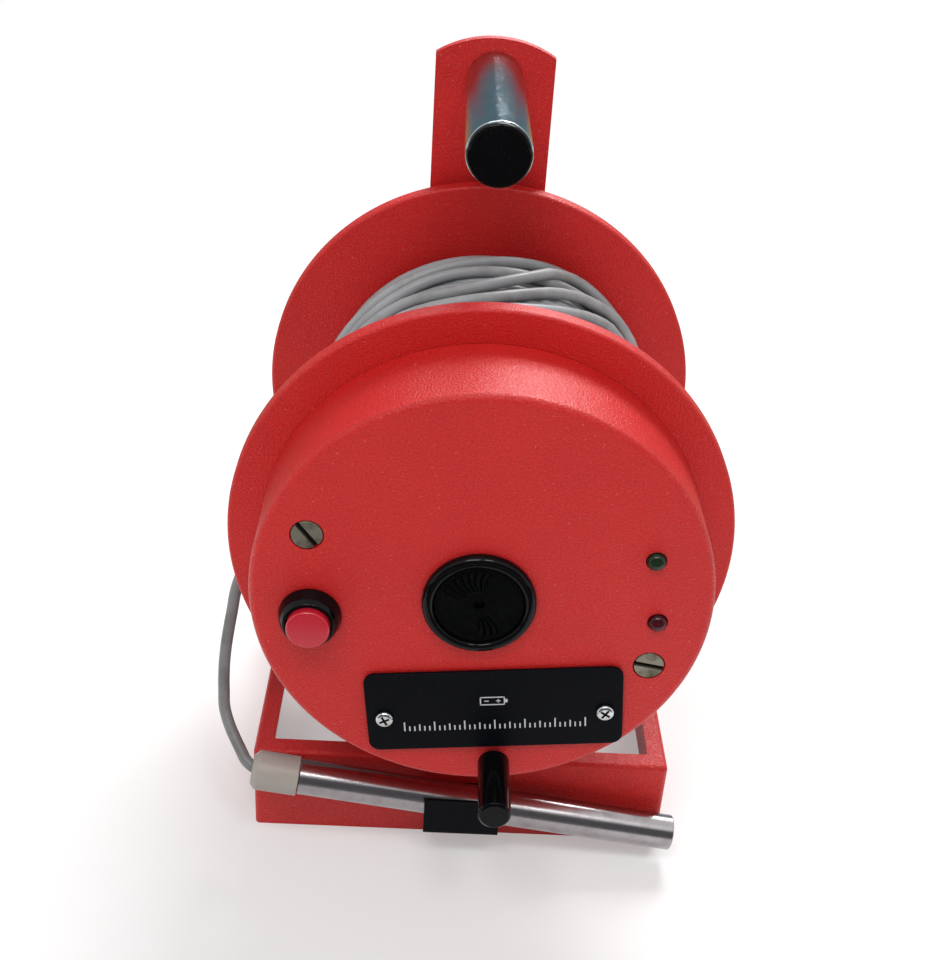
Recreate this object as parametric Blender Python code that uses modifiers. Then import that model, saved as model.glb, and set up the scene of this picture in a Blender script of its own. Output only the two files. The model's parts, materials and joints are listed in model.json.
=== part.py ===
"""Hand-carried reel of a water level indicator, for dipping a probe down a borehole.

A cable drum turns on an axle that an upright plate holds from behind, above an open base frame. The round
electronics housing on the front of the drum carries the button, lamps, sounder, battery cover and crank
knob. A tube handle reaches forward from the top of the upright, and the probe rests in a clip on the base.

Metres. +Z is up, the housing faces -Y, and the origin is on the floor under the middle of the object.
"""

import math

import bmesh
import bpy
from mathutils import Matrix, Vector

# Clearances
GAP = 0.0003  # between pieces that touch or are fixed in each other
RUNNING = 0.0003  # radial, between the axle or spindle and what turns on it
PRESS_PLAY = 0.0003  # radial, between the button cap and its body

# Drum
FLANGE_RADIUS = 0.100
FLANGE_THICKNESS = 0.0081
FLANGE_ROUND = 0.0012
CORE_RADIUS = 0.056
CORE_WALL = 0.003
CORE_LENGTH = 0.130
SPIGOT_HEIGHT = 0.004

# Cable
CABLE_DIAMETER = 0.005
PACK_RADIUS = 0.0698
PACK_ROUND = 0.002

# Front housing
HOUSING_FACE_RADIUS = 0.0862
HOUSING_ROOT_RADIUS = 0.0867
HOUSING_DEPTH = 0.0405
HOUSING_WALL = 0.003
HOUSING_ROUND = 0.0028


def face_place(inset, degrees):
    """Across and up from the drum axis, for what sits that far in from the edge of the housing face."""
    reach = HOUSING_FACE_RADIUS - inset
    angle = math.radians(degrees)
    return (reach * math.cos(angle), reach * math.sin(angle))


# Housing screws and the pillars they go into
SCREW_PLACES = (face_place(0.0165, 157.6), face_place(0.0165, -21.0))
SCREW_SLOT_TURNS = (-52.0, -10.0)  # degrees
SCREW_HEAD_RADIUS = 0.0057
SCREW_HEAD_THICKNESS = 0.0018
SCREW_SEAT_DEPTH = 0.002
SCREW_SEAT_PLAY = 0.0005
SCREW_SHANK_RADIUS = 0.0029
SCREW_GRIP = 0.011
SLOT_WIDTH = 0.0014
SLOT_DEPTH = 0.0009
PILLAR_RADIUS = 0.005
PILLAR_STUD_RADIUS = 0.003
PILLAR_STUD_LENGTH = 0.005

# Push button
BUTTON_PLACE = face_place(0.0224, 187.5)
BEZEL_FOOT_RADIUS = 0.0118
BEZEL_RIM_RADIUS = 0.0094
BEZEL_HEIGHT = 0.0075
SWITCH_RADIUS = 0.008
SWITCH_LENGTH = 0.026
CAP_RADIUS = 0.0081
CAP_STANDS_PROUD = 0.0029
CAP_HEAD_LENGTH = 0.0062
CAP_STEM_RADIUS = 0.0046
CAP_STEM_LENGTH = 0.006
BUTTON_TRAVEL = 0.0025
RING_NUT_ACROSS = 0.022
RING_NUT_THICKNESS = 0.004

# Sounder
SOUNDER_PLACE = (-0.0011, 0.0011)  # a little up and left of the drum axis
SOUNDER_RADIUS = 0.0212
SOUNDER_HEIGHT = 0.004
SOUNDER_RIM_WIDTH = 0.0042
SOUNDER_BODY_RADIUS = 0.0185
SOUNDER_BODY_LENGTH = 0.018
SOUNDER_RECESS = 0.0014
DISC_THICKNESS = 0.0016
DISC_HOLE_RADIUS = 0.0021
PLEAT_TURNS = (-38.0, -24.0, -10.0, 8.0, 24.0)  # degrees from the vertical, above and below the centre
PLEAT_WIDTH = 0.0009
PLEAT_DEPTH = 0.0006
PLEAT_INNER_RADIUS = 0.007
PLEAT_OUTER_RADIUS = 0.0155

# Lamps
LAMP_PLACES = {"lamp_green": face_place(0.0203, 20.0), "lamp_red": face_place(0.0203, -4.0)}
LAMP_RADIUS = 0.0036
LAMP_DOME_HEIGHT = 0.003
LAMP_COLLAR_RADIUS = 0.0046
LAMP_COLLAR_THICKNESS = 0.0012
LAMP_BODY_LENGTH = 0.009

# Battery cover plate, holder and battery
COVER_ACROSS = 0.0078
COVER_ABOVE_KNOB = 0.0264
COVER_TURN = 5.5  # degrees
COVER_SIZE = (0.0992, 0.0372)
COVER_THICKNESS = 0.0016
COVER_CORNER = 0.0045
COVER_SCREW_INSET = 0.00695
COVER_SCREW_DROP = 0.0023
COVER_SCREW_RADIUS = 0.0035
COVER_SCREW_HEIGHT = 0.0018
COVER_SCREW_SHANK = 0.0019
COVER_SCREW_LENGTH = 0.009
CROSS_WIDTH = 0.001
CROSS_LENGTH = 0.0038
CROSS_DEPTH = 0.0009
BATTERY_SIZE = (0.0485, 0.0175, 0.0265)
HOLDER_WALL = 0.0015
HOLDER_PLAY = 0.001

# Circuit board
BOARD_PLACE = (0.0, 0.052)
BOARD_SIZE = (0.060, 0.034)
BOARD_THICKNESS = 0.0016
BOARD_STAND_OFF = 0.009
BOARD_PILLAR_SPREAD = 0.048
BOARD_PILLAR_RADIUS = 0.003
BOARD_STUD_RADIUS = 0.0015
BOARD_STUD_LENGTH = 0.0035

# Crank knob
KNOB_PLACE = face_place(0.0109, -83.0)
COVER_PLACE = (COVER_ACROSS, KNOB_PLACE[1] + COVER_ABOVE_KNOB)
KNOB_RADIUS = 0.0063
KNOB_REACH = 0.0322  # from the housing face to the knob's end
KNOB_CHAMFER = 0.0009
KNOB_CROWN = 0.0035
SPINDLE_RADIUS = 0.003
SPINDLE_COLLAR_RADIUS = 0.005
SPINDLE_COLLAR_THICKNESS = 0.0014
SPINDLE_NUT_ACROSS = 0.010
SPINDLE_NUT_THICKNESS = 0.004

# Axle
AXLE_RADIUS = 0.007
AXLE_TAIL_RADIUS = 0.006
AXLE_NOSE_RADIUS = 0.005
AXLE_SHOULDER_RADIUS = 0.011
AXLE_END_PAST_NUT = 0.002
AXLE_CHAMFER = 0.0008
BUSH_RADIUS = 0.010
BUSH_COLLAR_RADIUS = 0.0135
BUSH_COLLAR_THICKNESS = 0.0015
THRUST_RADIUS = 0.0125
THRUST_THICKNESS = 0.001
AXLE_WASHER_RADIUS = 0.012
AXLE_WASHER_THICKNESS = 0.0016
REAR_NUT_ACROSS = 0.019
REAR_NUT_THICKNESS = 0.010
FRONT_NUT_ACROSS = 0.017
FRONT_NUT_THICKNESS = 0.006

# Upright plate
RUNNING_SPACE = 0.004  # between the rear flange and the upright
STAND_ACROSS = -0.0018  # middle of the base, upright and handle, left of the drum axis
UPRIGHT_WIDTH = 0.0524
UPRIGHT_THICKNESS = 0.005
UPRIGHT_CORNER_ABOVE_AXLE = 0.1543
UPRIGHT_ARCH_RISE = 0.0076
UPRIGHT_FOOT_HEIGHT = 0.008
UPRIGHT_BOLT_SPREAD = 0.032
UPRIGHT_BOLT_HEIGHTS = (0.0155, 0.0295)
UPRIGHT_BOLT_RADIUS = 0.003
UPRIGHT_BOLT_ACROSS = 0.010
UPRIGHT_BOLT_HEAD = 0.004
UPRIGHT_NUT_THICKNESS = 0.005
BOLT_END_PAST_NUT = 0.0015

# Carrying handle
HANDLE_ABOVE_AXLE = 0.1435
HANDLE_RADIUS = 0.0127
HANDLE_WALL = 0.0015
HANDLE_REACH = 0.1108  # from the upright's front face to the plug's end
PLUG_HEAD_RADIUS = 0.0122
PLUG_HEAD_THICKNESS = 0.0022
PLUG_HEAD_ROUND = 0.0012
PLUG_LENGTH = 0.012
ANCHOR_LENGTH = 0.016
HANDLE_BOLT_RADIUS = 0.004
HANDLE_BOLT_ACROSS = 0.013
HANDLE_BOLT_HEAD = 0.0053
HANDLE_WASHER_RADIUS = 0.008
HANDLE_WASHER_THICKNESS = 0.0016
HANDLE_BOLT_GRIP = 0.014

# Base frame
BASE_WIDTH = 0.179
BASE_HEIGHT = 0.0422
BASE_SET_BACK = 0.0331  # of its front wall from the housing face
BASE_SHEET = 0.0016
BASE_LIP = 0.0083
BASE_BEND = 0.0022
DRUM_ABOVE_BASE = 0.0059

# Probe clip
CLIP_ACROSS = -0.001  # of its middle from the drum axis
CLIP_WIDTH = 0.032
CLIP_SHEET = 0.0012
CLIP_BOTTOM = 0.0158
CLIP_LIP_HEIGHT = 0.0194
CLIP_BACK_HEIGHT = 0.0135
CLIP_BEND = 0.0018
RIVET_SPREAD = 0.018
RIVET_RADIUS = 0.0016
RIVET_HEAD_RADIUS = 0.003
RIVET_HEAD_HEIGHT = 0.0012

# Probe
PROBE_RADIUS = 0.0075
PROBE_WALL = 0.0015
PROBE_LENGTH = 0.1628
PROBE_PAST_CLIP = 0.0925  # from the clip's middle to the open end
PROBE_TILT = 8.3  # degrees, open end down
PROBE_CAP_RADIUS = 0.0083
PROBE_CAP_LENGTH = 0.020
PROBE_CAP_CHAMFER = 0.0022
PROBE_CAP_PLUG = 0.012
PROBE_CAP_MOUTH = 0.0046  # radius of the flare that the cable enters
PROBE_CAP_FLARE = 0.003
INSULATOR_RECESS = 0.004
INSULATOR_LENGTH = 0.012
SENSOR_RADIUS = 0.0015
SENSOR_STANDS_OUT = 0.0025

# Places along the drum axis, counted back from the housing face
FRONT_FLANGE_Y = HOUSING_DEPTH
CORE_Y = FRONT_FLANGE_Y + FLANGE_THICKNESS
REAR_FLANGE_Y = CORE_Y + CORE_LENGTH
UPRIGHT_Y = REAR_FLANGE_Y + FLANGE_THICKNESS + RUNNING_SPACE
AXLE_TAIL_LENGTH = GAP + AXLE_WASHER_THICKNESS + GAP + REAR_NUT_THICKNESS + AXLE_END_PAST_NUT
TOTAL_DEPTH = KNOB_REACH + UPRIGHT_Y + UPRIGHT_THICKNESS + AXLE_TAIL_LENGTH

# The same places in the object's frame
FACE_Y = KNOB_REACH - TOTAL_DEPTH / 2
AXLE_Z = BASE_HEIGHT + DRUM_ABOVE_BASE + FLANGE_RADIUS
UPRIGHT_FRONT_Y = FACE_Y + UPRIGHT_Y
BASE_FRONT_Y = FACE_Y + BASE_SET_BACK
BASE_DEPTH = UPRIGHT_Y - GAP - BASE_SET_BACK
CLIP_INNER_WIDTH = 2 * (PROBE_RADIUS + GAP)
PROBE_Y = BASE_FRONT_Y - GAP - CLIP_SHEET - CLIP_INNER_WIDTH / 2
PROBE_REST = (PROBE_RADIUS + GAP) / math.cos(math.radians(PROBE_TILT))
PROBE_RISE = CLIP_WIDTH / 2 * math.tan(math.radians(PROBE_TILT))
PROBE_Z = CLIP_BOTTOM + CLIP_SHEET + PROBE_REST + PROBE_RISE

# Free length of cable: chosen points from the winding and outside the front flange, towards the probe.
# Each is across from the drum axis, back from the housing face, and up from the drum axis.
LEAD_ROUTE = (
    (-0.0630, 0.0620, 0.0366),
    (-0.0706, 0.0616, 0.0236),
    (-0.0806, 0.0609, 0.0058),
    (-0.0900, 0.0598, -0.0140),
    (-0.0964, 0.0586, -0.0285),
    (-0.1001, 0.0573, -0.0395),
    (-0.1018, 0.0560, -0.0492),
    (-0.1034, 0.0543, -0.0586),
    (-0.1046, 0.0521, -0.0675),
    (-0.1051, 0.0493, -0.0760),
    (-0.1049, 0.0460, -0.0840),
    (-0.1040, 0.0419, -0.0918),
)
LEAD_DEPTH = 0.005  # inside the cap
LEAD_BEND = 0.012  # radius of its last bend, out of the cap
LEAD_BEND_TURNS = (60.0, 45.0, 30.0, 15.0, 0.0)  # degrees from the probe's axis
LEAD_BEND_TOWARDS = (0.0, 1.0, 0.83)  # back and up
LEAD_STEP = 0.012
LEAD_SIDES = 2  # bevel resolution

FACING_FRONT = (math.pi / 2, 0.0, 0.0)
ALONG_Y = (-math.pi / 2, 0.0, 0.0)
ALONG_X_OUTLINE = (math.pi / 2, 0.0, math.pi / 2)


# Scene, collections and materials


def clear_scene():
    for obj in list(bpy.data.objects):
        bpy.data.objects.remove(obj, do_unlink=True)


def make_collection(name):
    collection = bpy.data.collections.new(name)
    bpy.context.scene.collection.children.link(collection)
    return collection


def make_material(name, colour, roughness, metallic=0.0):
    material = bpy.data.materials.new(name)
    material.use_nodes = True
    shader = material.node_tree.nodes["Principled BSDF"]
    shader.inputs["Base Color"].default_value = (*colour, 1.0)
    shader.inputs["Roughness"].default_value = roughness
    shader.inputs["Metallic"].default_value = metallic
    material.diffuse_color = (*colour, 1.0)
    return material


clear_scene()
PARTS = make_collection("water_level_indicator")
CUTTERS = make_collection("cutters")

RED_COAT = make_material("red_powder_coat", (0.56, 0.035, 0.03), 0.45)
BLACK_GLOSS = make_material("black_gloss_plastic", (0.008, 0.008, 0.01), 0.15)
BLACK_SATIN = make_material("black_satin_coat", (0.02, 0.021, 0.026), 0.4)
CHROME = make_material("chrome_plate", (0.75, 0.76, 0.77), 0.08, 1.0)
STAINLESS = make_material("stainless_steel", (0.6, 0.59, 0.57), 0.25, 1.0)
NICKEL = make_material("aged_nickel", (0.42, 0.4, 0.35), 0.4, 1.0)
ZINC = make_material("zinc_plate", (0.6, 0.6, 0.62), 0.35, 1.0)
BRONZE = make_material("sintered_bronze", (0.5, 0.33, 0.16), 0.45, 1.0)
RED_CAP = make_material("red_cap_plastic", (0.55, 0.02, 0.04), 0.3)
GREY_PVC = make_material("grey_cable_pvc", (0.25, 0.25, 0.26), 0.5)
GREY_CAP = make_material("grey_cap_plastic", (0.5, 0.49, 0.46), 0.5)
NYLON = make_material("white_nylon", (0.75, 0.74, 0.7), 0.5)
GREEN_LENS = make_material("green_lens", (0.01, 0.05, 0.015), 0.08)
RED_LENS = make_material("red_lens", (0.09, 0.004, 0.01), 0.08)
BOARD_GREEN = make_material("circuit_board", (0.02, 0.14, 0.05), 0.5)
BATTERY_CASE = make_material("battery_case", (0.12, 0.12, 0.13), 0.35)


# Shape helpers


def add_object(name, data, material=None, parent=None, at=(0, 0, 0), turn=(0, 0, 0)):
    """A new object in the parts collection, or a cutter when it has no material."""
    obj = bpy.data.objects.new(name, data)
    if material is None:
        CUTTERS.objects.link(obj)
        obj.hide_render = True
        obj.display_type = "WIRE"
    else:
        PARTS.objects.link(obj)
        data.materials.append(material)
    obj.parent = parent
    obj.location = at
    obj.rotation_euler = turn
    return obj


def add_empty(name, at, turn=(0, 0, 0)):
    empty = bpy.data.objects.new(name, None)
    PARTS.objects.link(empty)
    empty.empty_display_size = 0.02
    empty.location = at
    empty.rotation_euler = turn
    return empty


def softened(corners, segments=3, closed=True):
    """Outline with each corner that has a third value rounded to that radius by an arc."""
    count = len(corners)
    points = []
    for index, corner in enumerate(corners):
        here = Vector(corner[:2])
        at_end = not closed and index in (0, count - 1)
        if len(corner) < 3 or at_end:
            points.append(here)
            continue
        to_last = (Vector(corners[index - 1][:2]) - here).normalized()
        to_next = (Vector(corners[(index + 1) % count][:2]) - here).normalized()
        half = to_last.angle(to_next) / 2
        centre = here + (to_last + to_next).normalized() * (corner[2] / math.sin(half))
        start = here + to_last * (corner[2] / math.tan(half)) - centre
        end = here + to_next * (corner[2] / math.tan(half)) - centre
        sweep = -start.angle_signed(end)
        for step in range(segments + 1):
            points.append(centre + Matrix.Rotation(sweep * step / segments, 2) @ start)
    return points


def turned(name, corners, material, parent, at=(0, 0, 0), turn=ALONG_Y, steps=20, segments=2):
    """Turned piece. Corners are (radius, place along the axis[, rounding]), down the outer side.

    Corners that start and end at radius 0 make a solid, others a ring.
    """
    solid = corners[0][0] == 0 and corners[-1][0] == 0
    points = softened(corners, segments, closed=not solid)
    mesh = bpy.data.meshes.new(name)
    edges = [(i, i + 1) for i in range(len(points) - 1)]
    if not solid:
        edges.append((len(points) - 1, 0))
    mesh.from_pydata([(p.x, 0.0, p.y) for p in points], edges, [])
    obj = add_object(name, mesh, material, parent, at, turn)
    screw = obj.modifiers.new("Screw", "SCREW")
    screw.axis = "Z"
    screw.angle = 2 * math.pi
    screw.steps = screw.render_steps = steps
    screw.use_merge_vertices = True
    screw.merge_threshold = 0.000001
    screw.use_smooth_shade = True
    return obj


def flat(name, corners, thickness, material, parent, at, turn=FACING_FRONT, segments=3):
    """Flat outline with a thickness, centred on its mid plane, as a mesh."""
    curve = bpy.data.curves.new(name, "CURVE")
    curve.dimensions = "2D"
    curve.fill_mode = "BOTH"
    curve.extrude = thickness / 2
    points = softened(corners, segments)
    spline = curve.splines.new("POLY")
    spline.points.add(len(points) - 1)
    for point, place in zip(spline.points, points):
        point.co = (place.x, place.y, 0.0, 1.0)
    spline.use_cyclic_u = True
    return curve_to_mesh(name, curve, material, parent, at, turn)


def curve_to_mesh(name, curve, material, parent, at=(0, 0, 0), turn=(0, 0, 0)):
    """Mesh object made from a curve, with the seams of its caps welded."""
    guide = bpy.data.objects.new(name + "_guide", curve)
    bpy.context.scene.collection.objects.link(guide)
    graph = bpy.context.evaluated_depsgraph_get()
    mesh = bpy.data.meshes.new_from_object(guide.evaluated_get(graph))
    bpy.data.objects.remove(guide, do_unlink=True)
    mesh.name = name
    work = bmesh.new()
    work.from_mesh(mesh)
    bmesh.ops.remove_doubles(work, verts=work.verts, dist=0.000001)
    bmesh.ops.recalc_face_normals(work, faces=work.faces)
    work.to_mesh(mesh)
    work.free()
    mesh.set_sharp_from_angle(angle=math.radians(35))
    return add_object(name, mesh, material, parent, at, turn)


def cylinder(name, radius, length, material, parent, at, turn=ALONG_Y, sides=16, start=0.0):
    """Plain cylinder or, with few sides, a prism. It runs from start to start + length along its axis."""
    work = bmesh.new()
    bmesh.ops.create_cone(
        work,
        cap_ends=True,
        segments=sides,
        radius1=radius,
        radius2=radius,
        depth=length,
        matrix=Matrix.Translation((0, 0, start + length / 2)),
    )
    mesh = bpy.data.meshes.new(name)
    work.to_mesh(mesh)
    work.free()
    return add_object(name, mesh, material, parent, at, turn)


def box(name, size, material, parent, at, turn=(0, 0, 0)):
    """Box centred on its place, with its size in its vertices."""
    work = bmesh.new()
    bmesh.ops.create_cube(work, size=1.0)
    bmesh.ops.scale(work, vec=size, verts=work.verts)
    mesh = bpy.data.meshes.new(name)
    work.to_mesh(mesh)
    work.free()
    return add_object(name, mesh, material, parent, at, turn)


def combine(obj, other, operation="DIFFERENCE"):
    boolean = obj.modifiers.new(operation.title(), "BOOLEAN")
    boolean.operation = operation
    boolean.object = other
    boolean.solver = "EXACT"
    return obj


def bore(obj, radius, length, parent, at, sides=16, start=0.0, turn=ALONG_Y):
    """Cuts a round hole along the axis of the pieces that pass through it."""
    count = len(CUTTERS.objects)
    cutter = cylinder(f"bore_{count}", radius, length, None, parent, at, turn, sides, start)
    return combine(obj, cutter)


def hexagon(name, across, height, material, parent, at, shank=None, hole=None, chamfered=True):
    """Nut, or the head of a bolt with its shank. The corners of its back end are turned off.

    The head runs from 0 to height along +Y. A shank is (radius, length) towards -Y.
    """
    corner = across / math.sqrt(3)
    piece = cylinder(name, corner, height, material, parent, at, sides=6)
    if chamfered:
        slope = [
            (0, height + GAP),
            (across / 2 * 0.94, height + GAP),
            (corner * 1.04, height * 0.72),
            (corner * 1.04, -height),
            (0, -height),
        ]
        combine(piece, turned(name + "_blank", slope, None, parent, at, steps=18), "INTERSECT")
    if hole is not None:
        bore(piece, hole, height * 3, parent, at, start=-height, sides=12)
    if shank is not None:
        radius, length = shank
        overlap = height / 2
        pin = cylinder(name + "_shank", radius, length + overlap, None, parent, at, sides=12, start=-length)
        combine(piece, pin, "UNION")
    return piece


def ring(name, inner, outer, thickness, material, parent, at, steps=20):
    """Washer that runs from its place to its thickness along +Y."""
    corners = [(outer, thickness), (outer, 0), (inner, 0), (inner, thickness)]
    return turned(name, corners, material, parent, at, steps=steps)


def on_face(place, back=0.0):
    """A place on the housing face, given across and up from the drum axis."""
    return (place[0], back, place[1])


def in_cover(across, up, back=0.0):
    """A place given in the cover plate's own directions."""
    angle = math.radians(COVER_TURN)
    x = COVER_PLACE[0] + across * math.cos(angle) - up * math.sin(angle)
    z = COVER_PLACE[1] + across * math.sin(angle) + up * math.cos(angle)
    return (x, back, z)


def round_rectangle(width, height, radius):
    x = width / 2
    y = height / 2
    return [(-x, -y, radius), (x, -y, radius), (x, y, radius), (-x, y, radius)]


# Base frame and upright


def make_base_frame():
    """Four folded walls with a return lip inwards along the top, open in the middle and below."""
    work = bmesh.new()
    bmesh.ops.create_cube(work, size=1.0)
    bmesh.ops.scale(work, vec=(BASE_WIDTH, BASE_DEPTH, BASE_HEIGHT), verts=work.verts)
    floor = [face for face in work.faces if face.normal.z < -0.5]
    bmesh.ops.delete(work, geom=floor, context="FACES_ONLY")
    mesh = bpy.data.meshes.new("base_frame")
    work.to_mesh(mesh)
    work.free()
    middle_y = BASE_FRONT_Y + BASE_DEPTH / 2
    frame = add_object("base_frame", mesh, RED_COAT, None, (STAND_ACROSS, middle_y, BASE_HEIGHT / 2))
    bend = frame.modifiers.new("Bend", "BEVEL")
    bend.width = BASE_BEND
    bend.segments = 2
    bend.limit_method = "ANGLE"
    sheet = frame.modifiers.new("Sheet", "SOLIDIFY")
    sheet.thickness = BASE_SHEET
    sheet.offset = -1
    sheet.use_even_offset = True
    sheet.use_rim = True
    opening = (BASE_WIDTH - 2 * BASE_LIP, BASE_DEPTH - 2 * BASE_LIP, 3 * BASE_SHEET)
    window = box("base_window", opening, None, None, (STAND_ACROSS, middle_y, BASE_HEIGHT))
    combine(frame, window)
    for place in upright_bolt_places():
        bore(frame, UPRIGHT_BOLT_RADIUS + GAP, 0.012, None, place, start=-0.008)
    for across in (-RIVET_SPREAD / 2, RIVET_SPREAD / 2):
        place = (CLIP_ACROSS + across, BASE_FRONT_Y, CLIP_BOTTOM + CLIP_BACK_HEIGHT / 2)
        bore(frame, RIVET_RADIUS + GAP, 0.010, None, place, start=-0.005)
    return frame


def upright_bolt_places():
    return [
        (STAND_ACROSS + across, UPRIGHT_FRONT_Y, height)
        for height in UPRIGHT_BOLT_HEIGHTS
        for across in (-UPRIGHT_BOLT_SPREAD / 2, UPRIGHT_BOLT_SPREAD / 2)
    ]


def make_upright():
    """Flat bar with an arched top, bored for the axle, the handle bolt and the foot bolts."""
    half = UPRIGHT_WIDTH / 2
    corner = AXLE_Z + UPRIGHT_CORNER_ABOVE_AXLE
    radius = (half**2 + UPRIGHT_ARCH_RISE**2) / (2 * UPRIGHT_ARCH_RISE)
    reach = math.asin(half / radius)
    arch = []
    for step in range(11):
        angle = reach - 2 * reach * step / 10
        arch.append((radius * math.sin(angle), corner + UPRIGHT_ARCH_RISE - radius * (1 - math.cos(angle))))
    outline = [(-half, UPRIGHT_FOOT_HEIGHT), (half, UPRIGHT_FOOT_HEIGHT)] + arch
    middle = (STAND_ACROSS, UPRIGHT_FRONT_Y + UPRIGHT_THICKNESS / 2, 0)
    upright = flat("upright_plate", outline, UPRIGHT_THICKNESS, RED_COAT, None, middle)
    long = 3 * UPRIGHT_THICKNESS
    bore(upright, AXLE_TAIL_RADIUS + GAP, long, None, (0, UPRIGHT_FRONT_Y, AXLE_Z), start=-long / 3)
    handle_place = (STAND_ACROSS, UPRIGHT_FRONT_Y, AXLE_Z + HANDLE_ABOVE_AXLE)
    bore(upright, HANDLE_BOLT_RADIUS + GAP, long, None, handle_place, start=-long / 3)
    for place in upright_bolt_places():
        bore(upright, UPRIGHT_BOLT_RADIUS + GAP, long, None, place, start=-long / 3)
    return upright


def make_upright_bolts():
    """Four bolts from behind, through the upright and the base's rear wall, each with a nut inside."""
    through = UPRIGHT_THICKNESS + GAP + GAP + BASE_SHEET
    for number, (x, y, z) in enumerate(upright_bolt_places(), 1):
        shank = GAP + through + GAP + UPRIGHT_NUT_THICKNESS + BOLT_END_PAST_NUT
        hexagon(
            f"upright_bolt_{number}",
            UPRIGHT_BOLT_ACROSS,
            UPRIGHT_BOLT_HEAD,
            ZINC,
            None,
            (x, y + UPRIGHT_THICKNESS + GAP, z),
            shank=(UPRIGHT_BOLT_RADIUS, shank),
        )
        nut_y = y - GAP - BASE_SHEET - GAP - UPRIGHT_NUT_THICKNESS
        hexagon(
            f"upright_nut_{number}",
            UPRIGHT_BOLT_ACROSS,
            UPRIGHT_NUT_THICKNESS,
            ZINC,
            None,
            (x, nut_y, z),
            hole=UPRIGHT_BOLT_RADIUS + GAP,
            chamfered=False,
        )


# Axle


def make_axle(seat):
    """Stepped axle. Its shoulder bears on the upright, and threads at both ends take nuts."""
    shoulder_back = -GAP
    shoulder_front = -(RUNNING_SPACE - THRUST_THICKNESS - 2 * GAP)
    journal_end = FRONT_FLANGE_Y - GAP - UPRIGHT_Y
    nose_end = journal_end - GAP - AXLE_WASHER_THICKNESS - GAP - FRONT_NUT_THICKNESS - AXLE_END_PAST_NUT
    tail_end = UPRIGHT_THICKNESS + AXLE_TAIL_LENGTH
    turned(
        "axle",
        [
            (0, tail_end),
            (AXLE_TAIL_RADIUS - AXLE_CHAMFER, tail_end),
            (AXLE_TAIL_RADIUS, tail_end - AXLE_CHAMFER),
            (AXLE_TAIL_RADIUS, shoulder_back),
            (AXLE_SHOULDER_RADIUS, shoulder_back),
            (AXLE_SHOULDER_RADIUS, shoulder_front),
            (AXLE_RADIUS, shoulder_front),
            (AXLE_RADIUS, journal_end),
            (AXLE_NOSE_RADIUS, journal_end),
            (AXLE_NOSE_RADIUS, nose_end + AXLE_CHAMFER),
            (AXLE_NOSE_RADIUS - AXLE_CHAMFER, nose_end),
            (0, nose_end),
        ],
        STAINLESS,
        seat,
    )
    thrust_y = shoulder_front - GAP - THRUST_THICKNESS
    ring("thrust_washer", AXLE_RADIUS + RUNNING, THRUST_RADIUS, THRUST_THICKNESS, NYLON, seat, (0, thrust_y, 0))
    washer_y = journal_end - GAP - AXLE_WASHER_THICKNESS
    hole = AXLE_NOSE_RADIUS + GAP
    place = (0, washer_y, 0)
    ring("axle_front_washer", hole, AXLE_WASHER_RADIUS, AXLE_WASHER_THICKNESS, ZINC, seat, place)
    place = (0, washer_y - GAP - FRONT_NUT_THICKNESS, 0)
    hexagon(
        "axle_front_nut",
        FRONT_NUT_ACROSS,
        FRONT_NUT_THICKNESS,
        ZINC,
        seat,
        place,
        hole=hole,
        chamfered=False,
    )
    washer_y = UPRIGHT_THICKNESS + GAP
    hole = AXLE_TAIL_RADIUS + GAP
    place = (0, washer_y, 0)
    ring("axle_rear_washer", hole, AXLE_WASHER_RADIUS, AXLE_WASHER_THICKNESS, ZINC, seat, place)
    place = (0, washer_y + AXLE_WASHER_THICKNESS + GAP, 0)
    hexagon("axle_rear_nut", REAR_NUT_ACROSS, REAR_NUT_THICKNESS, ZINC, seat, place, hole=hole)


# Drum


def make_flange(name, drum, face_y, spigot_forward):
    """Round cheek with a spigot that centres the core tube, bored for its bush.

    The profile is drawn with the spigot behind, and turned over for the rear flange.
    """
    spigot = CORE_RADIUS - CORE_WALL - GAP
    hole = BUSH_RADIUS + GAP
    corners = [
        (hole, FLANGE_THICKNESS + SPIGOT_HEIGHT),
        (spigot, FLANGE_THICKNESS + SPIGOT_HEIGHT),
        (spigot, FLANGE_THICKNESS),
        (FLANGE_RADIUS, FLANGE_THICKNESS, FLANGE_ROUND),
        (FLANGE_RADIUS, 0, FLANGE_ROUND),
        (hole, 0),
    ]
    turn = ALONG_Y
    place = (0, face_y, 0)
    if spigot_forward:
        turn = FACING_FRONT
        place = (0, face_y + FLANGE_THICKNESS, 0)
    return turned(name, corners, RED_COAT, drum, place, turn, steps=52, segments=1)


def make_bush(name, drum, place, turn):
    """Collared bush. Its collar lies on the spigot, inside the core."""
    length = FLANGE_THICKNESS + SPIGOT_HEIGHT
    hole = AXLE_RADIUS + RUNNING
    collar_end = length + GAP + BUSH_COLLAR_THICKNESS
    corners = [
        (BUSH_COLLAR_RADIUS, collar_end),
        (BUSH_COLLAR_RADIUS, length + GAP),
        (BUSH_RADIUS, length + GAP),
        (BUSH_RADIUS, 0),
        (hole, 0),
        (hole, collar_end),
    ]
    turned(name, corners, BRONZE, drum, place, turn, steps=16)


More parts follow.
